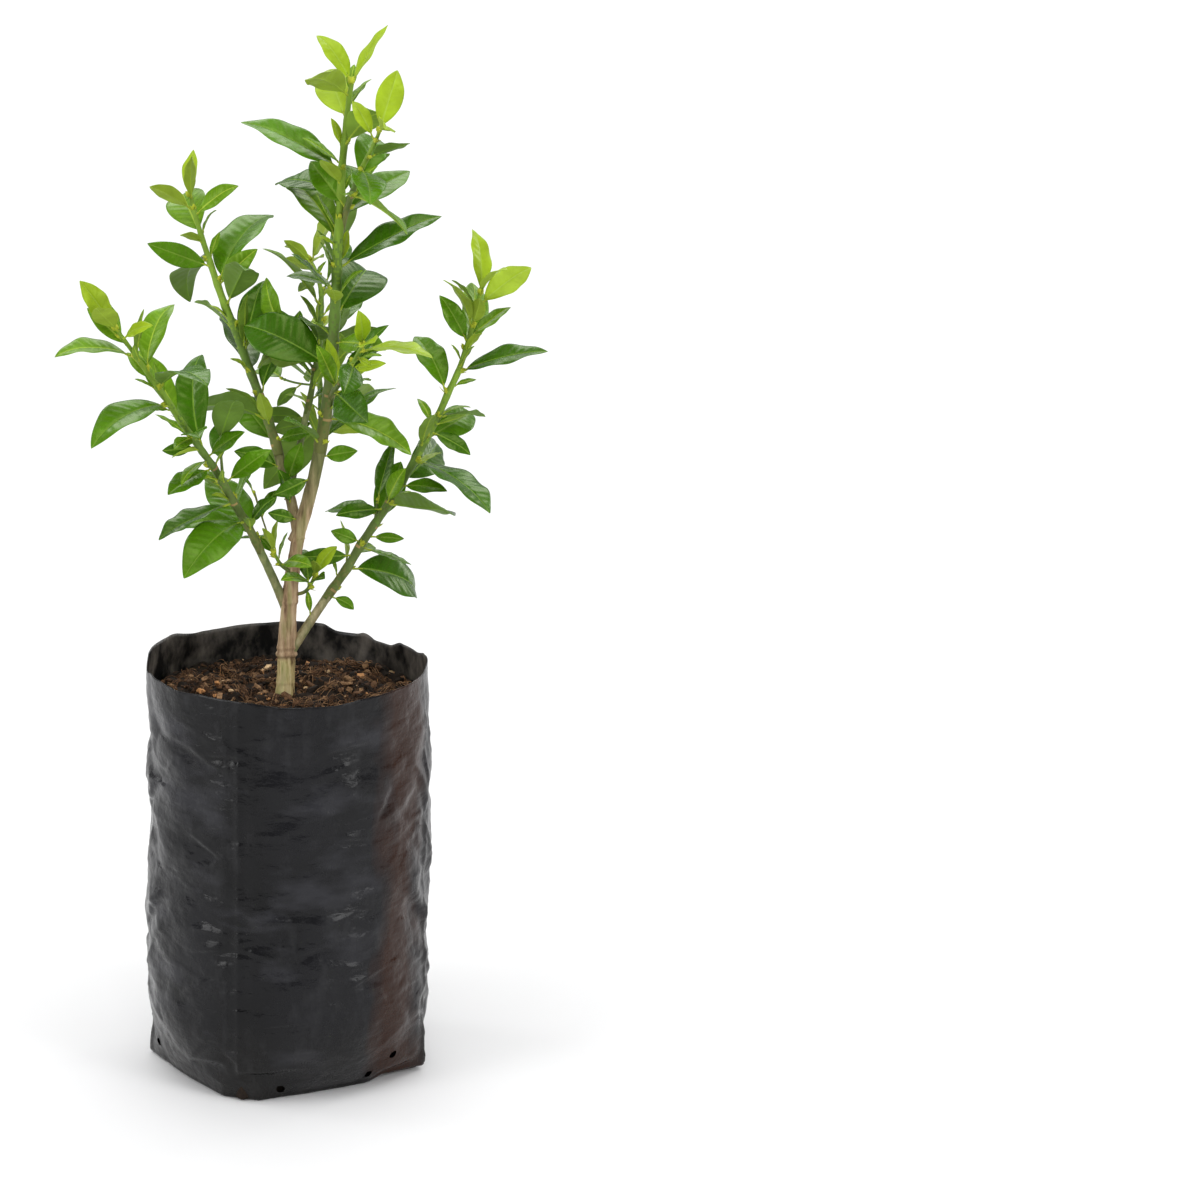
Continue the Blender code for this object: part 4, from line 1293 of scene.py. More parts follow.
def facet_field(arc, height, cell, seed):
    """Crumpled relief: flat facets that meet in creases."""
    columns = max(3, round(FULL_TURN * BAG_RADIUS / cell))
    x = arc / (FULL_TURN * BAG_RADIUS) * columns
    y = height / cell
    cx = np.floor(x)
    cy = np.floor(y)
    best = np.full(x.shape, -1e9)
    for ox in (-1, 0, 1):
        for oy in (-1, 0, 1):
            place = np.stack(((cx + ox) % columns, cy + oy), axis=-1)
            px = cx + ox + 0.5 + 0.45 * lattice(place, seed)
            py = cy + oy + 0.5 + 0.45 * lattice(place, seed + 1)
            slope_x = 0.35 * lattice(place, seed + 2)
            slope_y = 0.55 * lattice(place, seed + 3)
            level = 0.25 * lattice(place, seed + 4)
            dx = x - px
            dy = y - py
            value = level + slope_x * dx + slope_y * dy - 0.8 * np.sqrt(dx * dx + dy * dy + 0.01)
            best = np.maximum(best, value)
    return best


def unevenness(bearing):
    """How crumpled the wall is: most at the bag's two sides, least across the front."""
    sides = np.abs(np.cos(bearing)) ** 3
    back = 0.5 * np.clip(np.sin(bearing), 0, 1)
    return 0.42 + 0.75 * sides + back


def bag_relief(bearing, height, rim):
    """How far the film stands out from or sinks into the plain form."""
    arc = bearing * BAG_RADIUS
    place = round_points(BAG_RADIUS, bearing, height)
    much = unevenness(bearing)
    relief = 1.3 * MM * layered_noise(place * (1, 1, 1.4), 34 * MM, 3, 2) * much
    bent = arc + 4 * MM * noise(place, 30 * MM, 9)
    lifted = height + 4 * MM * noise(place, 26 * MM, 12)
    relief += 2.6 * MM * (facet_field(bent + lifted * 0.35, lifted, 24 * MM, 5) + 0.45) * much
    relief += 0.7 * MM * (facet_field(bent - lifted * 0.5, lifted * 1.7, 13 * MM, 25) + 0.4) * (much + 0.15)
    relief += 0.75 * MM * noise(place * (1, 1, 1.5), 19 * MM, 15)
    relief += 0.16 * MM * noise(place * (1, 1, 2.2), 8 * MM, 17) * (0.6 + much)
    relief += 0.09 * MM * noise(place * (1, 1, 1.6), 3.2 * MM, 19)
    for crease in CREASES:
        relief += crease_field(arc, height, crease)
    pick = random.Random(BAG_SEED)
    for _ in range(SMALL_CREASES):
        spot = pick.uniform(-180, 180)
        weight = float(unevenness(np.array(math.radians(spot))))
        crease = (
            spot, pick.uniform(12, 215),
            pick.choice((-1, 1)) * pick.uniform(0, 34 + 36 * min(1, weight)), pick.uniform(18, 58),
            pick.uniform(3.2, 8.5), pick.uniform(0.35, 1.0) * (0.45 + 0.9 * weight),
            pick.choice(("tent", "step"))
        )
        relief += crease_field(arc, height, crease)
    for corner in BASE_CORNER_BEARINGS:
        away = np.abs(angle_between(bearing, math.radians(corner))) * BAG_RADIUS
        relief += 0.45 * MM * np.clip(1 - away / (2.2 * MM), 0, 1)
        relief -= 0.25 * MM * np.exp(-(((away - 4 * MM) / (3 * MM)) ** 2))
    near_rim = smooth_step((rim - height) / (34 * MM))
    relief *= 0.22 + 0.78 * near_rim
    relief *= 0.45 + 0.55 * smooth_step((height - 1 * MM) / (12 * MM))
    return relief


def make_bag(materials):
    """The film: a creased outer sheet, folded over a thin wavy rim, with punched drainage holes."""
    bearings = turns(BAG_COLUMNS)
    for corner in BASE_CORNER_BEARINGS:
        turned = math.radians(corner) % FULL_TURN
        bearings[np.argmin(np.abs(angle_between(bearings, turned)))] = turned
    base = np.array([base_radius_at(b) for b in bearings])
    wave_place = np.stack((np.cos(bearings), np.sin(bearings)), axis=-1) * BAG_RADIUS
    rim = np.array([rim_height_at(b) for b in bearings])
    rim = rim + 0.35 * MM * noise(wave_place, 14 * MM, 33) + 0.10 * MM * noise(wave_place, 4 * MM, 34)
    rim_bow = 1.8 * MM * noise(wave_place, 30 * MM, 35) + 0.3 * MM * noise(wave_place, 11 * MM, 36)
    middle, half_span, rise = LIFTED_EDGE
    off_edge = np.abs(angle_between(bearings, math.radians(middle))) / math.radians(half_span)
    lifted = rise * smooth_step(1.5 - off_edge)

    def point_ring(radius, height):
        height = np.broadcast_to(height, radius.shape)
        share = np.clip(1 - height / (14 * MM), 0, 1) * np.clip(radius / (60 * MM), 0, 1) ** 6
        return round_points(radius, bearings, height + lifted * share)

    def wall_radius(height):
        share = np.sqrt(smooth_step(height / GUSSET_HEIGHT))
        plain = base + (BAG_RADIUS - base) * share
        bow = rim_bow * smooth_step(1 - (rim - height) / (26 * MM))
        radius = plain + bag_relief(bearings, np.broadcast_to(height, bearings.shape), rim) + bow
        for corner, depth in CORNER_CUTS.items():
            away = angle_between(bearings, math.radians(corner))
            flat = BASE_CORNER_RADIUS - depth + CORNER_RISE * height
            cut = flat / np.cos(np.clip(away, -0.4, 0.4))
            radius = np.where(np.abs(away) < 0.4, np.minimum(radius, cut), radius)
        return radius

    rings = []
    for share in UNDERSIDE_SHARES:
        rings.append(point_ring((base - BASE_EDGE) * share + 0.001, 0.15 * MM * (1 - share)))
    foot = wall_radius(np.full(BAG_COLUMNS, BASE_EDGE))
    for turn in np.linspace(0, math.pi / 2, EDGE_ROWS + 1)[:-1]:
        radius = foot - BASE_EDGE * (1 - math.sin(turn))
        rings.append(point_ring(radius, np.full(BAG_COLUMNS, BASE_EDGE * (1 - math.cos(turn)))))
    wall_rows = round((RIM_HEIGHT - BASE_EDGE) / WALL_STEP)
    first_wall = len(rings)
    for i in range(wall_rows + 1):
        height = BASE_EDGE + (rim - BASE_EDGE) * i / wall_rows
        rings.append(point_ring(wall_radius(height), height))
    top = wall_radius(rim)
    rings.append(point_ring(top - FILM * 0.5, rim + FILM * 0.3))
    inner_rows = round(INNER_DEPTH / (2 * WALL_STEP))
    for i in range(inner_rows + 1):
        height = rim - INNER_DEPTH * i / inner_rows
        rings.append(point_ring(wall_radius(height) - FILM, height))
    points = np.array(rings)
    rows = len(rings)
    quads = grid_quads(rows, BAG_COLUMNS, closed=True)
    flat = points.reshape(-1, 3)
    keep = np.ones(len(quads), bool)
    centres = flat[quads].mean(axis=1)
    outer = (quads[:, 0] // BAG_COLUMNS >= first_wall - EDGE_ROWS) & (
        quads[:, 0] // BAG_COLUMNS < first_wall + wall_rows
    )
    pick = random.Random(BAG_SEED + 1)
    for bearing, height in DRAINS:
        turned = math.radians(bearing)
        tilt = pick.uniform(-0.5, 0.5)
        wide = DRAIN_RADIUS * pick.uniform(0.95, 1.15)
        tall = DRAIN_RADIUS * pick.uniform(0.75, 1.0)

        def hole_place(where):
            around = angle_between(np.arctan2(where[:, 1], where[:, 0]), turned) * BAG_RADIUS
            lift = where[:, 2] - height
            a = (around * math.cos(tilt) + lift * math.sin(tilt)) / wide
            b = (-around * math.sin(tilt) + lift * math.cos(tilt)) / tall
            return np.hypot(a, b)

        distance = hole_place(centres)
        inside = (distance < 1.0) & outer
        keep &= ~inside
        edge_points = np.unique(quads[inside])
        kept_points = np.unique(quads[keep & (distance < 3) & outer])
        border = np.intersect1d(edge_points, kept_points)
        away = hole_place(flat[border])
        centre = np.array((math.cos(turned), math.sin(turned), 0.0))
        tangent = np.array((-math.sin(turned), math.cos(turned), 0.0))
        for index, reach in zip(border, away):
            where = flat[index]
            around = angle_between(math.atan2(where[1], where[0]), turned) * BAG_RADIUS
            lift = where[2] - height
            share = 1.0 / max(reach, 0.2)
            moved = where + tangent * around * (share - 1)
            moved[2] = height + lift * share
            flat[index] = moved + centre * 0.25 * MM
    inside_slots = (quads[:, 0] // BAG_COLUMNS > first_wall + wall_rows).astype(int)
    pile = Pile()
    pile.add(flat, quads[keep], inside_slots[keep])
    return pile.make("film_bag", materials)


# Potting mix

SOIL_SEED = 88
SOIL_ROWS = 70
SOIL_COLUMNS = 300
SOIL_RADIUS = BAG_RADIUS - 2.2 * MM
# Heights in mm of the rings down the side of the mix, which stays this far inside the film
SOIL_SIDE = (195, 150, 100, 60, 40, 28, 18, 10, 4, 1.2)
SOIL_GAP = 4.5 * MM


def soil_height(x, y):
    """The top of the mix: mounded and crumbly, and a little lower beside the film."""
    place = np.stack((x, y, np.zeros_like(x)), axis=-1)
    radius = np.hypot(x, y)
    height = SOIL_TOP + 0.4 * MM + 3.2 * MM * noise(place, 30 * MM, 51)
    height += 4.6 * MM * np.abs(noise(place, 13 * MM, 52)) + 1.8 * MM * noise(place, 6 * MM, 53)
    height += 0.6 * MM * noise(place, 2.2 * MM, 54)
    height -= 2.5 * MM * smooth_step((radius - 62 * MM) / (12 * MM))
    return height


def make_soil(materials):
    """A lumpy body of mix that fills the bag, seen at the top and through the holes."""
    turn = turns(SOIL_COLUMNS)
    radii = SOIL_RADIUS * np.linspace(0.02, 1, SOIL_ROWS) ** 0.8
    r, t = np.meshgrid(radii, turn, indexing="ij")
    r = r + 0.5 * MM * noise(round_points(r, t, 0.0), 3 * MM, 61) * (r < SOIL_RADIUS * 0.97)
    top = round_points(r, t, soil_height(r * np.cos(t), r * np.sin(t)))
    base = np.array([base_radius_at(b) for b in turn])
    sides = []
    for height in SOIL_SIDE:
        share = math.sqrt(float(smooth_step(height * MM / GUSSET_HEIGHT)))
        sides.append(round_points(base + (BAG_RADIUS - base) * share - SOIL_GAP, turn, height * MM))
    rings = np.concatenate([top, np.array(sides)])
    hubs = [(0, 0, soil_at(0.0, 0.0)), (0, 0, SOIL_SIDE[-1] * MM)]
    points = np.concatenate([rings.reshape(-1, 3), hubs])
    quads = grid_quads(len(rings), SOIL_COLUMNS, closed=True, flip=True)
    cap = fan_quads(0, SOIL_COLUMNS, len(points) - 2)
    last = (len(rings) - 1) * SOIL_COLUMNS
    foot = fan_quads(last, SOIL_COLUMNS, len(points) - 1, flip=True)
    pile = Pile()
    pile.add(points, np.concatenate([quads, cap, foot]), 0)
    return pile.make("mix_body", materials[:1])


def random_place(pick, reach):
    radius = reach * math.sqrt(pick.random())
    turn = pick.uniform(0, FULL_TURN)
    return radius * math.cos(turn), radius * math.sin(turn)


def soil_at(x, y):
    return float(soil_height(np.array([x]), np.array([y]))[0])


CHIP_SHAPE = np.array([(x, y, z) for z in (-1.0, 1.0) for x, y in ((-1, -1), (1, -1), (1, 1), (-1, 1))])
CHIP_TILT = 24
CHIP_FACES = np.array(
    [(0, 3, 2, 1), (4, 5, 6, 7), (0, 1, 5, 4), (1, 2, 6, 5), (2, 3, 7, 6), (3, 0, 4, 7)]
)


def add_chip(pile, pick, x, y, size, slot, flatness, lift):
    """A broken flake of bark, rounded off by one cut of its corners."""
    sizes = np.array((size, size * pick.uniform(0.4, 0.9), size * flatness)) / 2
    shape = CHIP_SHAPE * sizes
    shape = shape * np.array([[pick.uniform(0.55, 1.15) for _ in range(3)] for _ in range(8)])
    turn = Matrix.Rotation(pick.uniform(0, 6.28), 3, "Z")
    for axis in "XY":
        turn = turn @ Matrix.Rotation(math.radians(pick.gauss(0, CHIP_TILT)), 3, axis)
    shape = shape @ np.array(turn.transposed())
    shape += (x, y, soil_at(x, y) + sizes[2] * lift)
    middles = shape[CHIP_FACES].mean(axis=1)
    rounded = shape * 0.86 + shape.mean(axis=0) * 0.14
    points = np.concatenate([rounded, middles])
    quads = []
    for i, face in enumerate(CHIP_FACES):
        for a, b in zip(face, np.roll(face, -1)):
            quads.append((a, b, 8 + i, 8 + i))
    pile.add(points, quads, slot)


FIBRE_STEPS = 7


def add_fibre(pile, pick, x, y, way, slot):
    """A short coir fibre lying over the mix."""
    length = pick.uniform(4, 12) * MM
    curl = pick.uniform(-0.8, 0.8)
    rise = pick.uniform(0.2, 2.8) * MM
    centres = []
    for i in range(FIBRE_STEPS + 1):
        share = i / FIBRE_STEPS
        centres.append((x, y, soil_at(x, y) + 0.25 * MM + rise * math.sin(math.pi * share)))
        angle = way + curl * (share - 0.5)
        x += math.cos(angle) * length / FIBRE_STEPS
        y += math.sin(angle) * length / FIBRE_STEPS
    radii = pick.uniform(0.10, 0.32) * MM * np.linspace(1, 0.5, FIBRE_STEPS + 1)
    add_tube(pile, centres, radii, 4, slot)


# Pale and orange chips that stand out: place, size in mm and colour slot
PLACED_CHIPS = (
    (-46, -12, 6.5, 4),
    (-38, -2, 5.5, 4),
    (-37, 12, 4.5, 5),
    (17, -34, 6.0, 4),
    (16, -39, 5.0, 5),
    (-13, 38, 4.5, 5),
    (9, 42, 6.0, 4),
    (38, 18, 5.0, 4),
    (-22, -40, 4.5, 4),
)


def make_litter(materials):
    """Bark chips, fibres and pale bits over the mix, as joined meshes."""
    pick = random.Random(SOIL_SEED)
    chips = Pile()
    reach = BAG_RADIUS - 5 * MM
    for _ in range(900):
        x, y = random_place(pick, reach)
        size = pick.uniform(1.4, 4.5) * MM
        slot = pick.choices((0, 1, 2, 3), (34, 34, 20, 12))[0]
        add_chip(chips, pick, x, y, size, slot, pick.uniform(0.25, 0.6), pick.uniform(-0.2, 1.2))
    for _ in range(130):
        x, y = random_place(pick, reach - 2 * MM)
        size = pick.uniform(3.5, 8.0) * MM
        slot = pick.choices((0, 1, 2, 3), (16, 30, 32, 22))[0]
        add_chip(chips, pick, x, y, size, slot, pick.uniform(0.16, 0.4), pick.uniform(0.2, 1.8))
    for _ in range(40):
        x, y = random_place(pick, reach)
        add_chip(chips, pick, x, y, pick.uniform(1.8, 4.2) * MM, pick.choice((4, 5)), 0.45, 1.4)
    for x, y, size, slot in PLACED_CHIPS:
        add_chip(chips, pick, x * MM, y * MM, size * MM, slot, 0.4, 2.0)
    for _ in range(90):
        x, y = random_place(pick, reach)
        add_chip(chips, pick, x, y, pick.uniform(0.6, 1.3) * MM, pick.choice((4, 5)), 0.6, 1.2)
    fibres = Pile()
    for _ in range(230):
        x, y = random_place(pick, reach - 8 * MM)
        way = pick.uniform(0, FULL_TURN)
        slot = pick.choices((0, 1, 2, 3), (10, 30, 38, 22))[0]
        for _ in range(8):
            add_fibre(
                fibres, pick, x + pick.gauss(0, 1.6) * MM, y + pick.gauss(0, 1.6) * MM,
                way + pick.gauss(0, 0.35), slot
            )
    for _ in range(240):
        x, y = random_place(pick, reach - 4 * MM)
        slot = pick.choices((1, 2, 3, 4), (30, 36, 28, 6))[0]
        add_fibre(fibres, pick, x, y, pick.uniform(0, FULL_TURN), slot)
    return chips.make("mix_chips", materials, smooth=False), fibres.make("mix_fibres", materials)


# Trunk and boughs

BARK_STEP = 0.6 * MM


def bark_relief(points, seed, roughness):
    """Lengthwise ridges and fissures, fading towards younger wood."""
    ridges = 1 - np.abs(noise(points * (1, 1, 0.16), 1.5 * MM, seed))
    fine = noise(points * (1, 1, 0.3), 0.7 * MM, seed + 1)
    broad = noise(points * (1, 1, 0.35), 4 * MM, seed + 2)
    return roughness * (0.34 * MM * (ridges - 0.7) + 0.10 * MM * fine + 0.24 * MM * broad)


def add_limb(pile, centres, radii, sides, seed, roughness, rings=(), slot=0):
    """A limb with bark relief; each ring is a raised band: height, rise and half width."""
    plain = tube_points(centres, radii, sides)
    heights = plain[..., 2]
    relief = bark_relief(plain, seed, roughness[:, None])
    wobble = 0.4 * MM * np.sin(2 * turns(sides) + 1)[None, :]
    for level, rise, half_width_mm in rings:
        gap = (heights + wobble - level) / (half_width_mm * MM)
        relief = relief + rise * MM * np.exp(-(gap**2)) - 0.5 * rise * MM * np.exp(-((gap + 1.8) ** 2))
    grown = np.asarray(radii)[:, None] + relief
    rows = len(centres)
    points = tube_points(centres, grown, sides)
    tip = np.asarray(centres[-1]) + frames_along(centres)[0][-1] * 0.5 * MM
    flat = np.concatenate([points.reshape(-1, 3), [tip]])
    quads = grid_quads(rows, sides, closed=True)
    cap = fan_quads((rows - 1) * sides, sides, rows * sides)
    pile.add(flat, np.concatenate([quads, cap]), slot)


GREEN_BOUGHS = ("left_low", "right", "centre", "back")
# How rough each bough's bark is, beside the trunk's
BOUGH_ROUGHNESS = {"leader": 0.9, "left_mid": 0.7, "left_low": 0.6}
USUAL_ROUGHNESS = 0.35
TRUNK_SIDES = 84
BOUGH_SIDES = 48
# Raised rings round the trunk: height in metres, rise and half width in mm
TRUNK_RINGS = (
    (0.2306, 0.75, 1.1),
    (0.2345, 0.35, 0.9),
    (0.2150, 0.18, 0.8),
    (0.2600, 0.30, 1.0),
    (0.2760, 0.35, 1.0),
)


def make_bark(stems, materials):
    """The trunk and the bare boughs, run into each other, as one piece."""
    pile = Pile()
    trunk = stems["trunk"]
    count = round(trunk.length / BARK_STEP)
    shares = np.linspace(0, 1, count + 1)
    centres = np.array([trunk.point(share) for share in shares])
    radii = np.array([trunk.radius(share) for share in shares])
    below = np.arange(8, 0, -1)
    centres = np.concatenate([centres[0] - np.array((0, 0, 1)) * below[:, None] * MM, centres])
    flare = radii[0] * (1 + 0.02 * below)
    radii = np.concatenate([flare, radii])
    heights = centres[:, 2]
    roughness = np.interp(heights, (0.20, 0.225, 0.24, 0.30, 0.32), (0.5, 0.5, 1.0, 1.0, 0.7))
    add_limb(pile, centres, radii, TRUNK_SIDES, 5, roughness, TRUNK_RINGS)
    for number, name in enumerate(BOUGHS):
        stem = stems[name]
        end = stem.bare + 0.002 / stem.length
        count = max(12, round(end * stem.length / BARK_STEP))
        shares = np.linspace(0, end, count + 1)
        centres = np.array([stem.point(share) for share in shares])
        radii = np.array([stem.radius(share) for share in shares]) * stem.slimness
        way = np.array(stem.direction(0))
        sink = np.linspace(BOUGHS[name] * MM, 0.5 * MM, 6)
        centres = np.concatenate([centres[0] - way * sink[:, None], centres])
        radii = np.concatenate([np.full(6, radii[0]), radii])
        collar = np.exp(-np.arange(len(radii)) * BARK_STEP / (5 * MM))
        radii = radii * (1 + 0.16 * collar)
        old = BOUGH_ROUGHNESS.get(name, USUAL_ROUGHNESS)
        roughness = np.interp(np.arange(len(radii)), (0, len(radii)), (old, old * 0.5))
        slot = int(name in GREEN_BOUGHS)
        add_limb(pile, centres, radii, BOUGH_SIDES, 20 + number * 7, roughness, slot=slot)
    return pile.make("bark_limbs", materials)


# Crown


def leaf_tone(leaf, pick):
    """Which green a leaf has: pale at the young tips, and otherwise mostly dark."""
    if leaf.young > 0.62 and pick.random() < 0.55 + 0.45 * leaf.young:
        return "young"
    if leaf.young > 0.3 or pick.random() < 0.16:
        return "light"
    return "dark" if pick.random() < 0.5 else "mid"


# How old each stem's skin looks at its base and its tip, as steps through the twig colours
STEM_AGING = {"leader": (0.4, 6.4), "left_mid": (0.4, 6.4)}
USUAL_AGING = (1.1, 5.8)
CROWN_SEED = 500
# Length of stem in which one small leaf grows
SMALL_LEAF_STEP = 7 * MM


def twig_slot(height, pick):
    """The colour slot of a side twig: greener higher up."""
    age = 2.2 + (height - 0.30) / 0.08 + pick.uniform(-0.5, 0.5)
    return int(min(AGE_SLOTS - 1, max(1, age)))


def add_small_leaves(leaf_pile, stems, crowd, mass, names, pick):
    """Small leaves between the others, right beside the stems, that the solids leave out."""
    for name in names:
        stem = stems[name]
        start = stem.bare + 0.04
        count = round((1 - start) * stem.length / SMALL_LEAF_STEP)
        for i in range(count):
            share = start + (1 - start) * (i + pick.random()) / count
            along = stem.direction(share)
            outward = across(along, pick.uniform(0, FULL_TURN))
            length = pick.uniform(10, 28) * MM
            leaf = new_leaf(
                stem.point(share) + outward * stem.radius(share) * 0.7, along, outward,
                drawn_angle(pick, 20, 60), length, pick.uniform(0.30, 0.42),
                drawn_angle(pick, -10, 30), drawn_angle(pick, -40, 40), 0.0012, 0.8
            )
            if not crowd.leaf_meets(leaf, mass):
                crowd.add_blade(leaf)
                add_leaf(leaf_pile, leaf, pick, pick.choice(("young", "light", "light")))


# Small leaves that the photograph shows beside the wood: stem, share of it, angle up from the
# right in degrees, lean towards the front, length in mm, width for its length and green
PLACED_LEAVES = {
    "foliage_right": (
        ("right", 0.415, 72, 0.2, 20, 0.55, "light"),
        ("right", 0.395, 177, 0.5, 24, 0.42, "dark"),
        ("right", 0.26, 178, 0.3, 26, 0.36, "dark"),
        ("right", 0.36, 136, 0.2, 18, 0.50, "dark"),
        ("right", 0.325, 2, 0.3, 16, 0.36, "mid"),
        ("right", 0.152, -17, 0.3, 12, 0.60, "mid"),
        ("right", 0.085, 96, 0.1, 12, 0.30, "light"),
        ("right", 0.47, 8, 0.5, 24, 0.42, "mid"),
        ("right", 0.87, 115, 0.2, 27, 0.42, "mid"),
        ("right", 0.62, -18, 0.4, 22, 0.45, "dark"),
        ("right", 0.30, 150, 0.5, 16, 0.50, "mid"),
    ),
    "foliage_left_low": (
        ("left_low", 0.478, 41, 0.2, 22, 0.50, "mid"),
        ("left_low", 0.525, 184, 0.3, 16, 0.45, "dark"),
        ("left_low", 0.22, 62, 0.3, 20, 0.50, "dark"),
        ("left_low", 0.33, 70, 0.3, 24, 0.48, "mid"),
    ),
    "foliage_left_mid": (
        ("left_mid", 0.07, 104, 0.3, 20, 0.50, "dark"),
        ("left_mid", 0.13, 74, 0.4, 22, 0.48, "mid"),
        ("left_mid", 0.17, 150, 0.3, 24, 0.48, "dark"),
        ("left_mid", 0.24, 30, 0.5, 20, 0.45, "mid"),
        ("left_mid", 0.94, 150, 0.2, 33, 0.38, "light"),
        ("left_mid", 0.95, 46, 0.3, 27, 0.42, "light"),
        ("left_mid", 0.74, 51, 0.4, 28, 0.42, "light"),
        ("left_mid", 0.80, 156, 0.3, 34, 0.36, "mid"),
    ),
    "foliage_leader": (
        ("leader", 0.03, 160, 0.4, 15, 0.50, "dark"),
        ("leader", 0.17, 17, 0.4, 18, 0.50, "mid"),
        ("leader", 0.12, 200, 0.6, 20, 0.45, "dark"),
        ("leader", 0.24, 150, 0.7, 22, 0.45, "mid"),
        ("leader", 0.80, 24, 0.3, 28, 0.42, "mid"),
        ("leader", 0.88, 10, 0.3, 32, 0.34, "light"),
    ),
    "foliage_sprout_right": (("trunk", 0.738, -31, 0.4, 13, 0.55, "mid"),),
}


def add_placed_leaves(leaf_pile, stems, crowd, mass, pick):
    """The small leaves of PLACED_LEAVES, where nothing is in their way."""
    for name, share, angle, lean, length, aspect, tone in PLACED_LEAVES.get(mass, ()):
        stem = stems[name]
        turn = math.radians(angle)
        way = Vector((math.cos(turn), -lean, math.sin(turn))).normalized()
        along = stem.direction(share)
        outward = (way - along * along.dot(way)).normalized()
        facing = (Vector((0, 1, 0)) - way * way.y).normalized()
        leaf = new_leaf(
            stem.point(share) + outward * stem.radius(share) * 0.7, way, facing, 0.0, length * MM,
            aspect, drawn_angle(pick, 5, 30), drawn_angle(pick, -30, 30), 0.0022, 0.6
        )
        owner = "trunk" if name == "trunk" else mass if share > stem.bare else "bough_" + name
        if not crowd.leaf_meets(leaf, owner):
            crowd.add_blade(leaf)
            add_leaf(leaf_pile, leaf, pick, tone)


def make_crown(stems, leaf_materials, twig_materials):
    """For each mass, a piece of leaves and a piece of twigs that grow on from the boughs."""
    kept, crowd = grow_masses(stems)
    for number, (mass, names) in enumerate(MASSES.items()):
        pick = random.Random(CROWN_SEED + number)
        leaf_pile = Pile()
        twig_pile = Pile()
        for name in names:
            stem = stems[name]
            start = stem.bare if name in BOUGHS else 0
            nodes = [share for share in stem.leaf_shares() if share > start]
            add_stem(twig_pile, stem, start, pick, nodes, STEM_AGING.get(name, USUAL_AGING))
            for node in nodes:
                bearing = pick.uniform(0, FULL_TURN)
                outward = across(stem.direction(node), bearing)
                add_node_details(twig_pile, stem, node, outward, pick)
            for extra in range(3):
                way = (stem.direction(1.0) + 0.5 * across(stem.direction(1.0), extra * 2.1)).normalized()
                add_bud(twig_pile, stem.point(1.0), way, pick.uniform(2.4, 4.0) * MM)
        for sprig in kept[mass]:
            if sprig.twig:
                controls = sprig.twig.controls
                shares = np.linspace(0, 1, 14)
                centres = [cubic_point(controls, share) for share in shares]
                radii = np.interp(shares, (0, 1), (sprig.twig.base_radius, TWIG_TIP_RADIUS))
                radii = radii * (1 + 0.25 * np.exp(-shares * 9))
                slot = twig_slot(centres[0][2], pick)
                add_tube(twig_pile, centres, radii, TWIG_SIDES, slot)
                way = cubic_direction(controls, 1.0)
                add_bud(twig_pile, controls[3], way, pick.uniform(1.8, 2.6) * MM)
            for leaf in sprig.leaves:
                add_leaf(leaf_pile, leaf, pick, leaf_tone(leaf, pick))
        add_placed_leaves(leaf_pile, stems, crowd, mass, pick)
        add_small_leaves(leaf_pile, stems, crowd, mass, names, pick)
        leaves = leaf_pile.make(mass.replace("foliage", "leaves"), leaf_materials)
        twigs = twig_pile.make(mass.replace("foliage", "twigs"), twig_materials)
        for piece in (leaves, twigs):
            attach(piece, "root")
            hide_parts(mass)


# Stage

CAMERA_PLACE = (0.16639494, -3.4, 1.27947581)
CAMERA_PITCH = 16.645
CAMERA_ROLL = 0.803
CAMERA_FOCUS_PIXELS = 6644
SENSOR_WIDTH = 36
FLOOR_RADII = (0.0005, 0.5, 1.5, 4, 12)
FLOOR_COLUMNS = 64
SURROUND = 0.33
PLANT_MIDDLE = (0, 0, 0.3)
# Each soft light: name, place, size, how bright it looks, and where it points
SOFTBOXES = (
    ("overhead softbox", (0.0, -0.3, 2.3), (2.2, 1.6), 3.0, (0.0, -0.2, 0)),
    ("back softbox", (0.0, 3.4, 2.8), (4.4, 3.0), 2.6, (0.0, 3.4, 0)),
    ("front softbox", (0.2, -3.9, 2.35), (1.5, 0.8), 7.0, PLANT_MIDDLE),
    ("left softbox", (-2.05, -1.45, 0.95), (0.9, 1.6), 5.0, PLANT_MIDDLE),
    ("right softbox", (2.05, -1.55, 0.95), (0.9, 1.6), 5.0, PLANT_MIDDLE),
    ("left edge softbox", (-2.4, 0.7, 0.9), (0.5, 1.6), 4.0, PLANT_MIDDLE),
    ("right edge softbox", (1.95, 1.75, 0.9), (0.5, 1.6), 4.5, PLANT_MIDDLE),
)


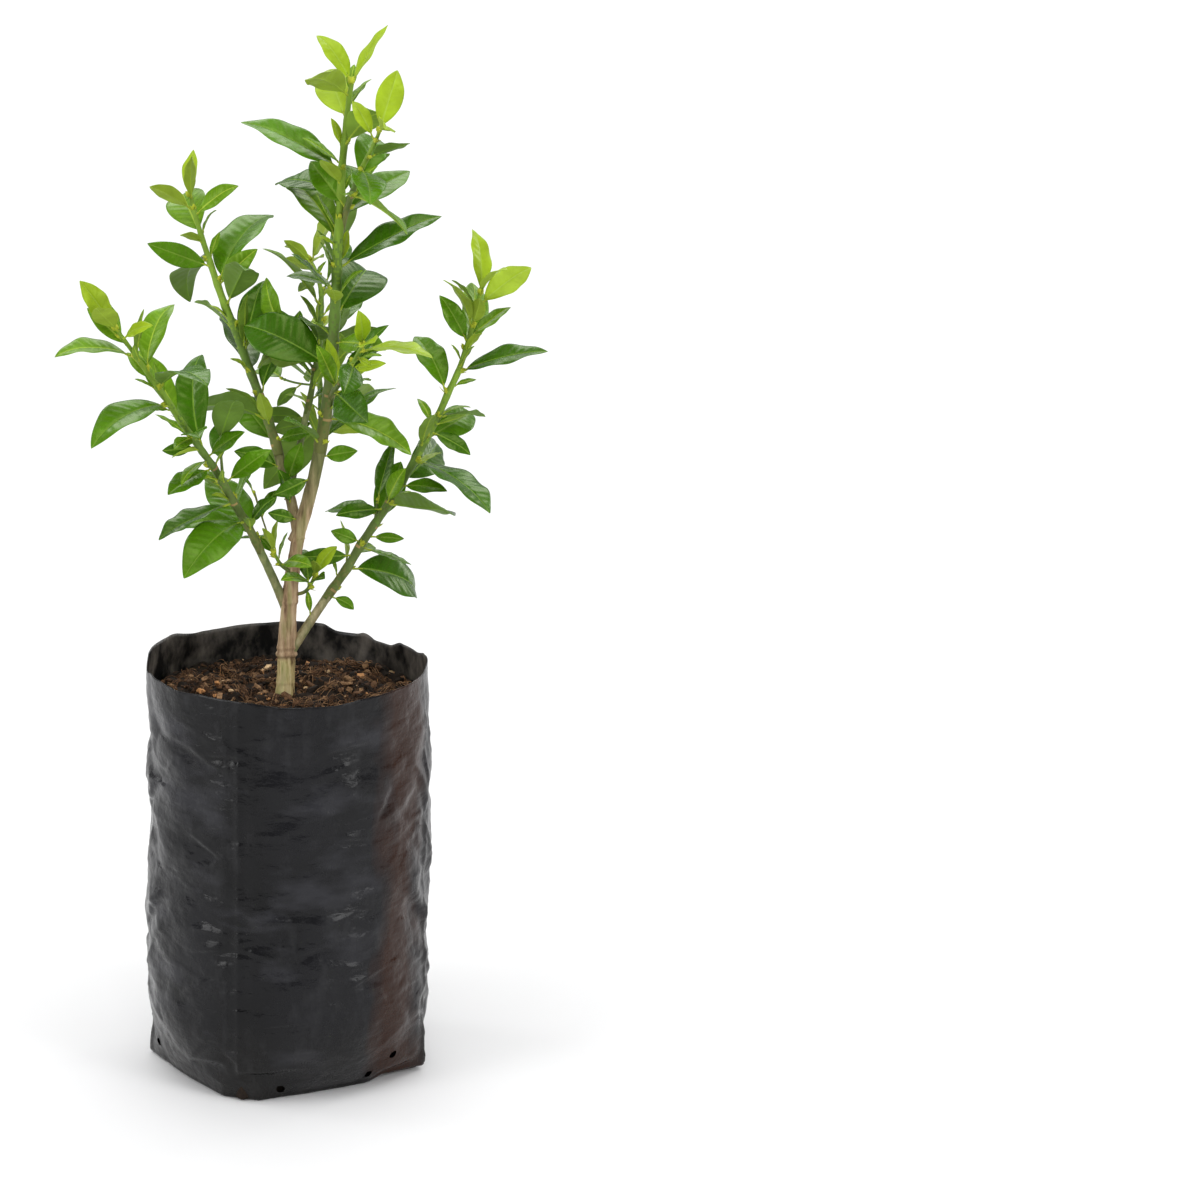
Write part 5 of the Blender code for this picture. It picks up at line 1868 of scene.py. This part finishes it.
def make_stage():
    """A pale floor, a pale surround, soft lights and the camera."""
    pile = Pile()
    rings = [round_points(radius, turns(FLOOR_COLUMNS), 0.0) for radius in FLOOR_RADII]
    pile.add(np.array(rings), grid_quads(len(rings), FLOOR_COLUMNS, closed=True, flip=True), 0)
    nodes = Nodes("pale floor")
    grain = nodes.noise(3, detail=2)
    nodes.colour(nodes.ramp(grain, ((0.3, (0.835, 0.835, 0.84)), (0.7, (0.855, 0.855, 0.86)))))
    nodes.set(Roughness=0.7, Specular_IOR_Level=0.2)
    floor = pile.make("floor", [nodes.material])

    world = bpy.data.worlds.new("pale surround")
    world.use_nodes = True
    background = world.node_tree.nodes["Background"]
    background.inputs["Color"].default_value = (1.0, 1.0, 1.0, 1)
    background.inputs["Strength"].default_value = SURROUND
    bpy.context.scene.world = world

    for name, place, size, radiance, aim in SOFTBOXES:
        light = bpy.data.lights.new(name, "AREA")
        light.shape = "RECTANGLE"
        light.size, light.size_y = size
        light.energy = radiance * math.pi * size[0] * size[1]
        lamp = bpy.data.objects.new(name, light)
        bpy.context.scene.collection.objects.link(lamp)
        lamp.location = place
        lamp.rotation_euler = (Vector(aim) - Vector(place)).to_track_quat("-Z", "Y").to_euler()

    camera_data = bpy.data.cameras.new("camera")
    camera_data.sensor_width = SENSOR_WIDTH
    camera_data.lens = CAMERA_FOCUS_PIXELS * SENSOR_WIDTH / IMAGE_SIZE
    camera = bpy.data.objects.new("camera", camera_data)
    bpy.context.scene.collection.objects.link(camera)
    camera.location = CAMERA_PLACE
    turn = Matrix.Rotation(math.radians(90 - CAMERA_PITCH), 4, "X")
    camera.rotation_euler = (turn @ Matrix.Rotation(math.radians(CAMERA_ROLL), 4, "Z")).to_euler()
    bpy.context.scene.camera = camera
    bpy.context.scene.view_settings.view_transform = "Standard"


# Skins of the leaf pieces: name, colour, roughness, relief and gloss
LEAF_SKINS = (
    ("leaf dark", (0.036, 0.116, 0.0022), 0.24, 0.2, 0.42),
    ("leaf mid", (0.067, 0.181, 0.0030), 0.25, 0.2, 0.42),
    ("leaf light", (0.112, 0.240, 0.007), 0.28, 0.2, 0.40),
    ("leaf young", (0.285, 0.41, 0.016), 0.32, 0.2, 0.36),
    ("underside", (0.112, 0.200, 0.030), 0.55, 0.25, 0.25),
    ("underside light", (0.172, 0.285, 0.034), 0.55, 0.25, 0.25),
    ("underside young", (0.27, 0.38, 0.034), 0.55, 0.25, 0.25),
    ("midrib", (0.15, 0.27, 0.028), 0.42, 0.15, 0.3),
    ("midrib light", (0.32, 0.45, 0.045), 0.42, 0.15, 0.3),
    ("petiole", (0.31, 0.39, 0.035), 0.42, 0.15, 0.3),
    ("vein dark", (0.041, 0.112, 0.0045), 0.26, 0.2, 0.42),
    ("vein mid", (0.072, 0.174, 0.0065), 0.27, 0.2, 0.42),
    ("vein light", (0.142, 0.286, 0.011), 0.30, 0.2, 0.40),
)
# Skins of the twig pieces, in the order of their slots: name, colour and roughness
TWIG_SKINS = (
    ("stem brown", (0.235, 0.175, 0.085), 0.7),
    ("stem olive", (0.145, 0.155, 0.052), 0.6),
    ("stem moss", (0.105, 0.148, 0.042), 0.5),
    ("stem green", (0.112, 0.190, 0.038), 0.5),
    ("stem bright", (0.175, 0.285, 0.035), 0.5),
    ("bud", (0.38, 0.43, 0.035), 0.5),
    ("spine", (0.32, 0.38, 0.04), 0.5),
    ("spine tip", (0.20, 0.11, 0.03), 0.5),
    ("leaf scar", (0.34, 0.23, 0.10), 0.7),
)
# Colours of the mix
MIX_COLOURS = (
    ("mix dark", (0.020, 0.013, 0.009)),
    ("mix brown", (0.062, 0.032, 0.017)),
    ("mix umber", (0.140, 0.072, 0.036)),
    ("mix tan", (0.29, 0.165, 0.085)),
    ("mix orange", (0.52, 0.25, 0.10)),
    ("mix pale", (0.68, 0.46, 0.26)),
)


def main():
    stems = {name: Stem(name) for name in CURVES}

    leaf_materials = [leaf_material(*skin) for skin in LEAF_SKINS]
    twig_materials = [twig_material(*skin) for skin in TWIG_SKINS]
    soil_materials = [soil_material(*mix) for mix in MIX_COLOURS]

    bag = make_bag([film_material(), inner_film_material()])
    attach(bag, "root")
    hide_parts("grow_bag")

    body = make_soil(soil_materials)
    chips, fibres = make_litter(soil_materials)
    for piece in (body, chips, fibres):
        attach(piece, "root")
        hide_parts("soil")

    bark = make_bark(stems, [bark_material(), bough_material()])
    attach(bark, "root")
    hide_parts("trunk", *("bough_" + name for name in BOUGHS))

    make_crown(stems, leaf_materials, twig_materials)
    make_stage()


main()
